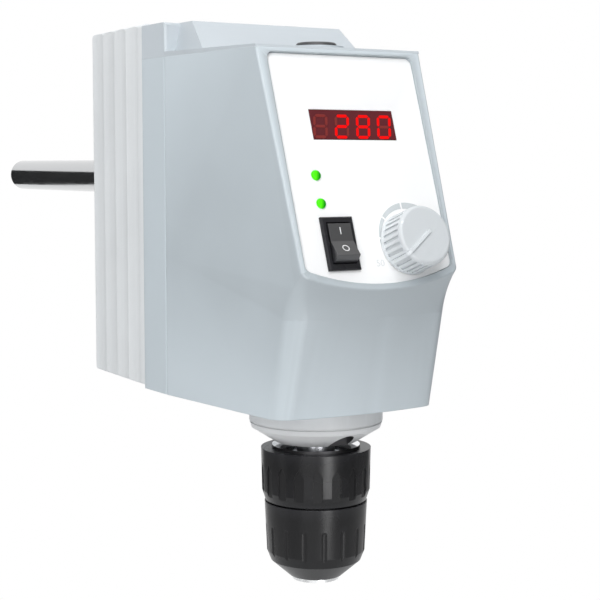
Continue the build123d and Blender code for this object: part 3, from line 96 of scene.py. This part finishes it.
# Marks on the rocker, as reaches from the valley between its two faces
mark_width = 0.42 * MM
on_mark_length = 2.6 * MM
on_mark_reach = 3.9 * MM
off_mark_radius = 1.25 * MM
off_mark_reach = 3.4 * MM
off_mark_steps = 40
rocker_tilt = 13
rocker_end_rise = 3.75 * MM
rocker_end_reach = 6.495 * MM

# Second finishes, both painted shade: a dark one in the collar's hole for the lock pin, and a dark one
# below the bright ring of the chuck's body
lock_hole_radius = 4.42 * MM
lock_hole_rise = 0.7 * MM
lock_hole_floor = 15.0 * MM
bright_ring_depth = 2.0 * MM

# Noise of the finishes, in grains a metre, and how its two tones lie on it
blotch_grains = 25.0
smear_grains = 60.0
speck_grains = 4000.0
tool_mark_grains = 9000.0
tool_mark_stretch = 0.02
tool_mark_pitch = 0.05 * MM
fine_detail = 3.0
coarse_detail = 2.0
noise_roughness = 0.55
tone_range = (0.3, 0.7)
gloss_range = (0.25, 0.75)
smear_range = (0.3, 0.75)
# Pointiness over which edges go paler: partly rubbed wear, partly painted highlight
wear_and_highlight_range = (0.52, 0.60)
coat_roughness = 0.2
speck_shade = 0.95
smear_dulls = 0.06
smear_spares = 0.03
least_roughness = 0.02

# The lamps' glow is painted darker along this direction of the lens's box, between these two places:
# painted shade across the lit lens
painted_shade_direction = (1.0, 0.0, -0.35)
painted_shade_range = (0.16, 0.44)

# Camera at the photograph's angle: turned from straight ahead, and looking slightly down
camera_turn = -31.5
camera_rise = 5.28
camera_distance = 0.5833
camera_aside = -0.00625
camera_up = 0.10976
camera_lens = 88.18
camera_sensor = 36.0
camera_near = 0.01

# Stage: a pale floor, a white background, black cards for the gloss, and lamps aimed at the object's middle
floor_drop = 0.35
floor_size = 8.0
floor_tone = 0.9
floor_roughness = 0.9
floor_glow = 0.22
shadow_reach = 0.45
shadow_fade = 0.5
background_white = 1.0
sky_tint = (0.94, 0.97, 1.0)
sky_strength = 0.34
card_tone = 0.06
card_reach = 1.5
card_low = -1.6
card_steps = 6
lamp_aim = Vector((0, 0.03, 0.12))


def set_inputs(node, **values):
    """Sets a node's inputs by their names, written with an underscore for each space."""
    for name, value in values.items():
        node.inputs[name.replace("_", " ")].default_value = value


def add_node(tree, kind, **values):
    """A node of a kind, with values for its named inputs."""
    made = tree.nodes.new(kind)
    set_inputs(made, **values)
    return made


def node_material(name):
    """A new material and its Principled shader."""
    material = bpy.data.materials.new(name)
    material.use_nodes = True
    return material, material.node_tree.nodes["Principled BSDF"]


def grain(tree, scale, detail=fine_detail):
    """Noise fixed to the piece, at so many grains a metre."""
    place = tree.nodes.new("ShaderNodeTexCoord")
    noise = add_node(tree, "ShaderNodeTexNoise", Scale=scale, Detail=detail, Roughness=noise_roughness)
    tree.links.new(place.outputs["Object"], noise.inputs["Vector"])
    return noise.outputs["Fac"]


def ramp(tree, source, places, low, high):
    """A colour that goes from a low to a high one as its source goes from one place to the other."""
    band = tree.nodes.new("ShaderNodeValToRGB")
    for element, place, colour in zip(band.color_ramp.elements, places, (low, high)):
        element.position = place
        element.color = (*colour, 1.0)
    tree.links.new(source, band.inputs["Fac"])
    return band.outputs["Color"]


def grey(level):
    """A grey of a level."""
    return (level, level, level)


def shade(colour, factor):
    """A colour made lighter or darker by a factor."""
    return tuple(min(channel * factor, 1.0) for channel in colour)


def moulded(name, colour, roughness, grain_size=0.5 * MM, grain_depth=0.02, wear_and_highlight=1.12, spread=0.03,
            coat=0.0, metal=0.0, smooth_spread=0.06, specular=0.5, edge_round=0.25 * MM):
    """Moulded, painted or cast surface: fine grain, slight blotches, soft edges, and paler edges, partly
    rubbed wear and partly painted highlight.
    """
    material, shader = node_material(name)
    tree = material.node_tree
    fine = grain(tree, 1 / grain_size)
    blotch = grain(tree, blotch_grains, coarse_detail)
    body = ramp(tree, blotch, tone_range, shade(colour, 1 - spread), shade(colour, 1 + spread))
    shape = tree.nodes.new("ShaderNodeNewGeometry")
    # Paler pointy edges: partly rubbed wear, partly painted highlight
    edge = ramp(tree, shape.outputs["Pointiness"], wear_and_highlight_range, grey(0), grey(1))
    wear_and_highlight_mix = tree.nodes.new("ShaderNodeMix")
    wear_and_highlight_mix.data_type = "RGBA"
    wear_and_highlight_mix.inputs["B"].default_value = (*shade(colour, wear_and_highlight), 1.0)
    tree.links.new(edge, wear_and_highlight_mix.inputs["Factor"])
    tree.links.new(body, wear_and_highlight_mix.inputs["A"])
    tree.links.new(wear_and_highlight_mix.outputs["Result"], shader.inputs["Base Color"])
    smooth = grey(roughness - smooth_spread)
    rough = grey(roughness + smooth_spread)
    gloss = ramp(tree, blotch, gloss_range, smooth, rough)
    tree.links.new(gloss, shader.inputs["Roughness"])
    rounded = add_node(tree, "ShaderNodeBevel", Radius=edge_round)
    bump = add_node(tree, "ShaderNodeBump", Strength=grain_depth, Distance=grain_size)
    tree.links.new(fine, bump.inputs["Height"])
    tree.links.new(rounded.outputs["Normal"], bump.inputs["Normal"])
    tree.links.new(bump.outputs["Normal"], shader.inputs["Normal"])
    set_inputs(shader, Metallic=metal, Specular_IOR_Level=specular)
    set_inputs(shader, Coat_Weight=coat, Coat_Roughness=coat_roughness)
    return material


def turned_metal(name, colour, roughness, depth=0.02, along="Z"):
    """Bright or machined metal with faint tool marks round its axis, and finger smears."""
    material, shader = node_material(name)
    tree = material.node_tree
    place = tree.nodes.new("ShaderNodeTexCoord")
    stretch = tree.nodes.new("ShaderNodeMapping")
    scale = [1.0 if axis == along else tool_mark_stretch for axis in "XYZ"]
    stretch.inputs["Scale"].default_value = scale
    marks = add_node(tree, "ShaderNodeTexNoise", Scale=tool_mark_grains, Detail=coarse_detail)
    tree.links.new(place.outputs["Object"], stretch.inputs["Vector"])
    tree.links.new(stretch.outputs["Vector"], marks.inputs["Vector"])
    clean = max(roughness - smear_spares, least_roughness)
    smeared = roughness + smear_dulls
    gloss = ramp(tree, grain(tree, smear_grains), smear_range, grey(clean), grey(smeared))
    tree.links.new(gloss, shader.inputs["Roughness"])
    bump = add_node(tree, "ShaderNodeBump", Strength=depth, Distance=tool_mark_pitch)
    tree.links.new(marks.outputs["Fac"], bump.inputs["Height"])
    tree.links.new(bump.outputs["Normal"], shader.inputs["Normal"])
    set_inputs(shader, Base_Color=(*colour, 1.0), Metallic=1.0)
    return material


def lit_segment(name, colour, base):
    """A bar of the display that glows with a colour, slightly speckled."""
    material, shader = node_material(name)
    tree = material.node_tree
    tone = ramp(tree, grain(tree, speck_grains), tone_range, shade(colour, speck_shade), colour)
    tree.links.new(tone, shader.inputs["Emission Color"])
    set_inputs(shader, Emission_Strength=1.0, Base_Color=(*base, 1.0))
    set_inputs(shader, Roughness=0.3, Specular_IOR_Level=0.05)
    return material


def lamp_lens_with_painted_shade(name, bright, deep, base):
    """A glowing lens with painted shade: bright towards its left and deep towards its right and lower rim.
    """
    material, shader = node_material(name)
    tree = material.node_tree
    place = tree.nodes.new("ShaderNodeTexCoord")
    across = tree.nodes.new("ShaderNodeVectorMath")
    across.operation = "DOT_PRODUCT"
    across.inputs[1].default_value = painted_shade_direction
    tree.links.new(place.outputs["Generated"], across.inputs[0])
    tone = ramp(tree, across.outputs["Value"], painted_shade_range, bright, deep)
    tree.links.new(tone, shader.inputs["Emission Color"])
    set_inputs(shader, Emission_Strength=0.95, Base_Color=(*base, 1.0))
    set_inputs(shader, Roughness=0.25, Specular_IOR_Level=0.15)
    return material


# Finishes. A length in them is the size of the grain or the round of the edges.
finishes = {
    "housing": moulded(
        "pale_grey_moulding", (0.475, 0.525, 0.555), roughness=0.38, grain_size=0.35 * MM,
        grain_depth=0.03, wear_and_highlight=1.35, edge_round=0.6 * MM,
    ),
    "cover": moulded(
        "cover_moulding", (0.55, 0.595, 0.63), roughness=0.42, grain_size=0.35 * MM, grain_depth=0.03,
    ),
    "casting": moulded(
        "pale_grey_coat", (0.77, 0.79, 0.80), roughness=0.6, grain_size=0.8 * MM, grain_depth=0.06,
        specular=0.3,
    ),
    "panel": moulded(
        "white_panel", (0.90, 0.90, 0.905), roughness=0.4, grain_size=0.2 * MM, grain_depth=0.01,
        spread=0.01,
    ),
    "window": moulded(
        "smoked_window", (0.075, 0.012, 0.015), roughness=0.2, grain_size=0.3 * MM, grain_depth=0.004,
        wear_and_highlight=1.6, spread=0.05, smooth_spread=0.03, specular=0.08,
    ),
    "knob": moulded(
        "white_knob", (0.64, 0.67, 0.69), roughness=0.36, grain_size=0.3 * MM, grain_depth=0.02,
        spread=0.015, wear_and_highlight=1.25,
    ),
    "black": moulded(
        "black_moulding", (0.006, 0.006, 0.007), roughness=0.30, grain_size=0.25 * MM, grain_depth=0.05,
        wear_and_highlight=2.6, spread=0.15, specular=0.32, edge_round=0.35 * MM,
    ),
    "switch": moulded(
        "black_switch", (0.006, 0.006, 0.007), roughness=0.28, grain_size=0.2 * MM, grain_depth=0.02,
        wear_and_highlight=3.0, specular=0.18,
    ),
    "rocker": moulded(
        "black_rocker", (0.014, 0.014, 0.016), roughness=0.30, grain_size=0.2 * MM, grain_depth=0.03,
        wear_and_highlight=2.2, specular=1.0,
    ),
    "cap": moulded("dark_cap", (0.05, 0.052, 0.055), roughness=0.4, grain_size=0.3 * MM),
    "collar": moulded(
        "collar_coat", (0.74, 0.745, 0.75), roughness=0.42, grain_size=0.3 * MM, grain_depth=0.08,
        wear_and_highlight=1.1, specular=0.25,
    ),
    "chrome": turned_metal("bright_chrome", (0.86, 0.87, 0.89), roughness=0.06),
    "rod": turned_metal("chromed_rod", (0.56, 0.57, 0.58), roughness=0.12, along="Y"),
    "steel": turned_metal("machined_steel", (0.56, 0.57, 0.59), roughness=0.28, depth=0.05),
    "nose": turned_metal("nose_ring", (0.80, 0.81, 0.82), roughness=0.22),
    # Dark metal for the collar's lock hole: painted shade inside the hole
    "hole_shade": turned_metal("hole_painted_shade", (0.10, 0.10, 0.105), roughness=0.35),
    # Dark steel for the chuck's body below its bright ring: painted shade in the gap between the sleeves
    "gap_shade": turned_metal("gap_painted_shade", (0.06, 0.06, 0.063), roughness=0.4),
    "zinc": moulded("plain_zinc", (0.55, 0.55, 0.53), roughness=0.45, metal=0.8),
    "magnet": moulded("dull_magnet", (0.08, 0.08, 0.085), roughness=0.5, metal=0.6),
    "winding": moulded(
        "copper_winding", (0.50, 0.19, 0.06), roughness=0.35, grain_size=0.4 * MM, grain_depth=0.4,
        metal=0.9,
    ),
    "contact": moulded("tinned_contact", (0.66, 0.60, 0.45), roughness=0.3, metal=1.0),
    "board": moulded("solder_mask", (0.02, 0.14, 0.05), roughness=0.35, coat=0.3),
    "rubber": moulded("black_rubber", (0.02, 0.02, 0.02), roughness=0.7),
    # The lamps glow for real; their bright-left, deep-right fall is painted shade
    "lamp": lamp_lens_with_painted_shade("green_lamp_painted_shade", bright=(0.09, 1.0, 0.0), deep=(0.0, 0.30, 0.0), base=(0.0, 0.04, 0.0)),
    "lit": lit_segment("lit_segment", (1.0, 0.003, 0.003), base=(0.05, 0.0, 0.0)),
    "unlit": moulded("unlit_segment", (0.19, 0.02, 0.017), roughness=0.3, spread=0.02, specular=0.2),
    "dial": moulded("dial_print", (0.62, 0.655, 0.67), roughness=0.4, spread=0.01, wear_and_highlight=1.0),
    "number": moulded("number_print", (0.72, 0.735, 0.74), roughness=0.4, spread=0.01),
    "mark": moulded("white_mark", (0.8, 0.8, 0.8), roughness=0.4, spread=0.01),
}

# Which CAD nodes have which finish. Every other node is machined steel.
nodes_with = {
    "housing": ["front_housing", "mid_frame"],
    "cover": ["top_cover"],
    "cap": ["top_cap"],
    "casting": ["rear_housing"],
    "panel": ["control_panel"],
    "window": ["display_window"],
    "knob": ["speed_knob"],
    "black": [
        "chuck_rear_sleeve", "chuck_front_sleeve", "inlet_socket", "display_module", "capacitors",
        "power_transistors",
    ],
    "switch": ["switch_frame"],
    "rocker": ["switch_rocker"],
    "collar": ["bearing_collar"],
    "chrome": ["chuck_body"],
    "nose": ["chuck_nose_ring"],
    "rod": ["support_rod"],
    "zinc": ["motor_bracket", "motor_housing", "board_pillars", "board_standoffs", "potentiometer"],
    "magnet": ["rotor_magnets"],
    "winding": ["stator_coils"],
    "contact": ["switch_terminals", "inlet_pins"],
    "board": ["display_board", "driver_board", "hall_board"],
    "rubber": ["shaft_seal", "heat_pad"],
    "lamp": ["overload_led", "power_led"],
}
finish_of = {node: finish for finish, names in nodes_with.items() for node in names}
for name, piece in nodes.items():
    piece.data.materials.clear()
    piece.data.materials.append(finishes[finish_of.get(name, "steel")])


def second_finish(name, finish, chosen):
    """Gives a second finish to the faces of a node whose middles a function chooses."""
    mesh = nodes[name].data
    mesh.materials.append(finishes[finish])
    for face in mesh.polygons:
        if chosen(nodes[name].matrix_world @ face.center):
            face.material_index = 1


collar_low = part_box("bearing_collar")[0]
rear_sleeve_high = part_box("chuck_rear_sleeve")[1]


def in_lock_hole(point):
    """Whether a point of the collar lies in the hole for the lock pin."""
    from_axis = hypot(point.x, point.z - collar_low.z - lock_hole_rise)
    return point.y < -lock_hole_floor and from_axis < lock_hole_radius


def under_bright_ring(point):
    """Whether a point of the chuck's body lies below its bright ring."""
    return point.z < rear_sleeve_high.z - bright_ring_depth


# The lock hole's faces get a dark finish: painted shade in the hole
second_finish("bearing_collar", "hole_shade", in_lock_hole)
# The chuck's body below its bright ring gets a dark finish: painted shade in the gap between the sleeves
second_finish("chuck_body", "gap_shade", under_bright_ring)


def new_object(name, data):
    """An object of a mesh, a lamp or a camera, linked to the scene."""
    made = bpy.data.objects.new(name, data)
    bpy.context.scene.collection.objects.link(made)
    return made


def on_panel(across, up, lift):
    """A point of the panel's print: across and up from the knob's joint, and how far it is lifted."""
    out = lift + print_lift - panel_sunk
    return knob_centre + panel_across * across + panel_up * up + panel_out * out


def plate(name, outlines, place, finish, body):
    """Thin flat pieces from outlines of (x, y) points, each set in place by a function."""
    mesh = bpy.data.meshes.new(name)
    work = bmesh.new()
    for outline in outlines:
        low = [work.verts.new(place(x, y, 0.0)) for x, y in outline]
        high = [work.verts.new(place(x, y, print_thickness)) for x, y in outline]
        work.faces.new(list(reversed(low)))
        work.faces.new(high)
        count = len(outline)
        for i in range(count):
            work.faces.new((low[i], low[(i + 1) % count], high[(i + 1) % count], high[i]))
    work.to_mesh(mesh)
    work.free()
    mesh.materials.append(finishes[finish])
    piece = new_object(name, mesh)
    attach(piece, body)


# Bars of a digit, from corner to corner of its frame: x in widths, y in half heights
bars = {
    "top": (0, 2, 1, 2),
    "middle": (0, 1, 1, 1),
    "bottom": (0, 0, 1, 0),
    "left_high": (0, 1, 0, 2),
    "left_low": (0, 0, 0, 1),
    "right_high": (1, 1, 1, 2),
    "right_low": (1, 0, 1, 1),
}
bars_lit = {
    " ": (),
    "2": ("top", "right_high", "middle", "left_low", "bottom"),
    "8": tuple(bars),
    "0": ("top", "left_high", "right_high", "left_low", "right_low", "bottom"),
}
bar_inset = segment_width / 2
bar_width = digit_width - 2 * bar_inset
bar_height = digit_height / 2 - bar_inset


def bar_outline(x0, y0, x1, y1):
    """One bar of a digit between two corners of its frame, pointed at both ends."""
    first = Vector((bar_inset + x0 * bar_width, bar_inset + y0 * bar_height))
    last = Vector((bar_inset + x1 * bar_width, bar_inset + y1 * bar_height))
    along = (last - first).normalized()
    side = Vector((-along.y, along.x)) * segment_width / 2
    tip = along * segment_width / 2
    start = first + along * segment_gap
    end = last - along * segment_gap
    points = [start, start + tip - side, end - tip - side, end, end - tip + side, start + tip + side]
    return [(point.x, point.y) for point in points]


def digit_place(index):
    """Where a point of a digit lies on the window, for the digit's number from the left."""
    from_middle = index - (len(reading) - 1) / 2
    left = window_across + digit_row_shift + from_middle * digit_pitch - digit_width / 2
    foot = window_up - digit_drop - digit_height / 2

    def place(x, y, lift):
        slant = digit_slant * (y - digit_height / 2)
        return on_panel(left + x + slant, foot + y, lift + window_lift)

    return place


for index, figure in enumerate(reading):
    for state in ("lit", "unlit"):
        outlines = [
            bar_outline(*corners)
            for bar, corners in bars.items()
            if (bar in bars_lit[figure]) == (state == "lit")
        ]
        if outlines:
            name = f"digit_{index + 1}_{state}"
            plate(name, outlines, digit_place(index), state, "housing")


def at_turn(turn, reach):
    """A point at a turn clockwise from straight up, seen from the front."""
    return reach * sin(radians(turn)), reach * cos(radians(turn))


def dial_outer(turn):
    """How far out the dial's wedge reaches at a turn."""
    share = (turn - dial_end) / (dial_start - dial_end)
    return dial_inner + dial_thin + (dial_thick - dial_thin) * share


def dial_place(x, y, lift):
    """A point of the dial's print, from the middle of its arc."""
    return on_panel(x + dial_aside, y + dial_rise, lift)


# The dial's wedge, in stretches between its ticks
half_tick = degrees(tick_width / dial_inner) / 2
dial_edges = [dial_start, *dial_ticks, dial_end]
stretches = []
for first, last in zip(dial_edges, dial_edges[1:]):
    start = first - half_tick if first in dial_ticks else first
    end = last + half_tick if last in dial_ticks else last
    turns = [start + (end - start) * i / dial_steps for i in range(dial_steps + 1)]
    outer = [at_turn(turn, dial_outer(turn)) for turn in turns]
    inner = [at_turn(turn, dial_inner) for turn in reversed(turns)]
    stretches.append(outer + inner)
plate("dial_scale", stretches, dial_place, "dial", "housing")


def panel_text(name, words, across, up, height, finish):
    """Printed figures on the panel, as a flat mesh."""
    curve = bpy.data.curves.new(name, "FONT")
    curve.body = words
    curve.size = height / figure_share
    curve.align_x = "CENTER"
    curve.align_y = "CENTER"
    curve.extrude = print_thickness / 2
    source = bpy.data.objects.new(name, curve)
    mesh = bpy.data.meshes.new_from_object(source)
    bpy.data.objects.remove(source)
    turn = Matrix((panel_across, panel_up, panel_out)).transposed().to_4x4()
    mesh.transform(Matrix.Translation(on_panel(across, up, 0.0)) @ turn)
    mesh.materials.append(finishes[finish])
    piece = new_object(name, mesh)
    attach(piece, "housing")


panel_text("dial_number", dial_number, *at_turn(number_turn, number_reach), number_height, "number")

# The rocker's marks, on its two faces, whose slope is in radians here
rocker_pivot = Vector(joints["power_rocker"]["pos_m"])
face_slope = radians(rocker_tilt)
rocker_valley = rocker_end_rise - rocker_end_reach * tan(face_slope)


def rocker_place(end):
    """Where a mark's point lies on the rocker's upper (1) or lower (-1) face at rest, from the valley."""
    up = panel_up * cos(face_slope) - panel_out * sin(face_slope)
    out = panel_out * cos(face_slope) + panel_up * sin(face_slope)
    along = up * end * cos(face_slope) + out * sin(face_slope)
    normal = out * cos(face_slope) - up * end * sin(face_slope)
    start = rocker_pivot + out * rocker_valley

    def place(x, y, lift):
        return start + panel_across * x + along * (y * end) + normal * (lift + print_lift)

    return place


def around_off_mark(turn, reach):
    """A point of the ring for OFF, at a turn in radians round its middle."""
    return reach * cos(turn), reach * sin(turn) - off_mark_reach


half_mark = mark_width / 2
bar_foot = on_mark_reach - on_mark_length / 2
bar_top = on_mark_reach + on_mark_length / 2
on_bar = [(-half_mark, bar_foot), (half_mark, bar_foot), (half_mark, bar_top), (-half_mark, bar_top)]
plate("rocker_on_mark", [on_bar], rocker_place(1), "mark", "rocker")

ring_inner = off_mark_radius - half_mark
ring_outer = off_mark_radius + half_mark
off_ring = []
for i in range(off_mark_steps):
    first, last = [2 * pi * (i + step) / off_mark_steps for step in (0, 1)]
    corners = [(first, ring_outer), (last, ring_outer), (last, ring_inner), (first, ring_inner)]
    off_ring.append([around_off_mark(turn, reach) for turn, reach in corners])
plate("rocker_off_mark", off_ring, rocker_place(-1), "mark", "rocker")


def white_light(tree, strength):
    """Plain white emission."""
    return add_node(tree, "ShaderNodeEmission", Color=(1, 1, 1, 1), Strength=strength).outputs["Emission"]


def seen_rays(tree):
    """One for the rays that look at the background: from the camera, off metal and through glass."""
    ray = tree.nodes.new("ShaderNodeLightPath")
    seen = ray.outputs["Is Camera Ray"]
    for kind in ("Is Glossy Ray", "Is Transmission Ray"):
        larger = tree.nodes.new("ShaderNodeMath")
        larger.operation = "MAXIMUM"
        tree.links.new(seen, larger.inputs[0])
        tree.links.new(ray.outputs[kind], larger.inputs[1])
        seen = larger.outputs["Value"]
    return seen


def mixed(tree, share, first, second):
    """Two shaders mixed by a share of the second."""
    mix = tree.nodes.new("ShaderNodeMixShader")
    tree.links.new(share, mix.inputs["Fac"])
    tree.links.new(first, mix.inputs[1])
    tree.links.new(second, mix.inputs[2])
    return mix.outputs["Shader"]


# The floor keeps the object's shadow near the object, and goes over to plain white further out
bpy.ops.mesh.primitive_plane_add(size=floor_size, location=(0, 0, -floor_drop))
floor = bpy.context.object
floor.name = "studio_floor"
floor_material, floor_shader = node_material("studio_floor")
floor_tree = floor_material.node_tree
set_inputs(floor_shader, Base_Color=(*grey(floor_tone), 1.0), Roughness=floor_roughness)
lifted = floor_tree.nodes.new("ShaderNodeAddShader")
floor_tree.links.new(floor_shader.outputs["BSDF"], lifted.inputs[0])
floor_tree.links.new(white_light(floor_tree, floor_glow), lifted.inputs[1])
floor_place = floor_tree.nodes.new("ShaderNodeTexCoord")
from_middle = floor_tree.nodes.new("ShaderNodeVectorMath")
from_middle.operation = "LENGTH"
floor_tree.links.new(floor_place.outputs["Object"], from_middle.inputs[0])
fade = floor_tree.nodes.new("ShaderNodeMapRange")
set_inputs(fade, From_Min=shadow_reach, From_Max=shadow_reach + shadow_fade)
floor_tree.links.new(from_middle.outputs["Value"], fade.inputs["Value"])
floor_white = white_light(floor_tree, background_white)
floor_seen = mixed(floor_tree, fade.outputs["Result"], lifted.outputs["Shader"], floor_white)
floor_mix = mixed(floor_tree, seen_rays(floor_tree), floor_shader.outputs["BSDF"], floor_seen)
floor_tree.links.new(floor_mix, floor_tree.nodes["Material Output"].inputs["Surface"])
floor.data.materials.append(floor_material)

# The world lights the object softly, and looks white
world = bpy.data.worlds.new("studio")
bpy.context.scene.world = world
world.use_nodes = True
world_tree = world.node_tree
sky = world_tree.nodes["Background"]
set_inputs(sky, Color=(*sky_tint, 1.0), Strength=sky_strength)
world_white = white_light(world_tree, background_white)
world_mix = mixed(world_tree, seen_rays(world_tree), sky.outputs["Background"], world_white)
world_tree.links.new(world_mix, world_tree.nodes["World Output"].inputs["Surface"])

# Black cards round the object, seen by glossy rays alone, as a studio hangs them
card_material, card_shader = node_material("black_card")
set_inputs(card_shader, Base_Color=(*grey(card_tone), 1.0), Specular_IOR_Level=0.0)


def direction(turn, rise):
    """The direction at a turn from straight ahead and a rise from level."""
    turn = radians(turn)
    rise = radians(rise)
    return Vector((sin(turn) * cos(rise), -cos(turn) * cos(rise), sin(rise)))


def card(name, first_turn, last_turn, high):
    """A black card that stands in an arc round the object, between two turns and up to a height."""
    work = bmesh.new()
    posts = []
    for i in range(card_steps + 1):
        foot = direction(first_turn + (last_turn - first_turn) * i / card_steps, 0) * card_reach
        posts.append([work.verts.new((foot.x, foot.y, z)) for z in (card_low, high)])
    for (low_a, high_a), (low_b, high_b) in zip(posts, posts[1:]):
        work.faces.new((low_a, low_b, high_b, high_a))
    mesh = bpy.data.meshes.new(name)
    work.to_mesh(mesh)
    work.free()
    mesh.materials.append(card_material)
    piece = new_object(name, mesh)
    piece.visible_camera = False
    piece.visible_diffuse = False
    piece.visible_shadow = False
    piece.visible_transmission = False


card("card_left", first_turn=-178, last_turn=-111, high=0.42)
card("card_front", first_turn=-100, last_turn=-66, high=0.8)
card("card_right", first_turn=14, last_turn=118, high=0.8)

# Camera
back = direction(camera_turn, camera_rise)
right = Vector((cos(radians(camera_turn)), sin(radians(camera_turn)), 0))
above = back.cross(right)
camera_data = bpy.data.cameras.new("camera")
camera_data.lens = camera_lens
camera_data.sensor_width = camera_sensor
camera_data.clip_start = camera_near
camera = new_object("camera", camera_data)
eye = right * camera_aside + above * camera_up + back * camera_distance
camera.matrix_world = Matrix.Translation(eye) @ Matrix((right, above, back)).transposed().to_4x4()
bpy.context.scene.camera = camera


def softbox(name, turn, rise, distance, width, height, power):
    """A rectangular lamp aimed at the object's middle, placed by its turn, rise and distance."""
    lamp = bpy.data.lights.new(name, "AREA")
    lamp.shape = "RECTANGLE"
    lamp.size = width
    lamp.size_y = height
    lamp.energy = power
    holder = new_object(name, lamp)
    away = direction(turn, rise)
    holder.location = lamp_aim + away * distance
    holder.rotation_euler = away.to_track_quat("Z", "Y").to_euler()
    return holder


softbox("front_high", turn=-34, rise=50, distance=1.1, width=0.8, height=0.8, power=6.5)
softbox("front_left", turn=-46, rise=12, distance=1.2, width=0.45, height=0.9, power=4.2)
softbox("top", turn=0, rise=85, distance=1.0, width=0.9, height=0.9, power=2.4)

# Two weak lamps behind light the back and the sides, and show in no gloss
for name, turn in (("rear_left", -158), ("rear_right", 118)):
    rear = softbox(name, turn, rise=25, distance=1.2, width=0.6, height=0.8, power=2.2)
    rear.visible_glossy = False

# A narrow lamp for gloss alone draws the soft line down the chuck
strip = softbox("strip", turn=-6, rise=-4, distance=1.2, width=0.34, height=1.2, power=9.0)
strip.visible_diffuse = False

bpy.context.scene.view_settings.view_transform = "Standard"
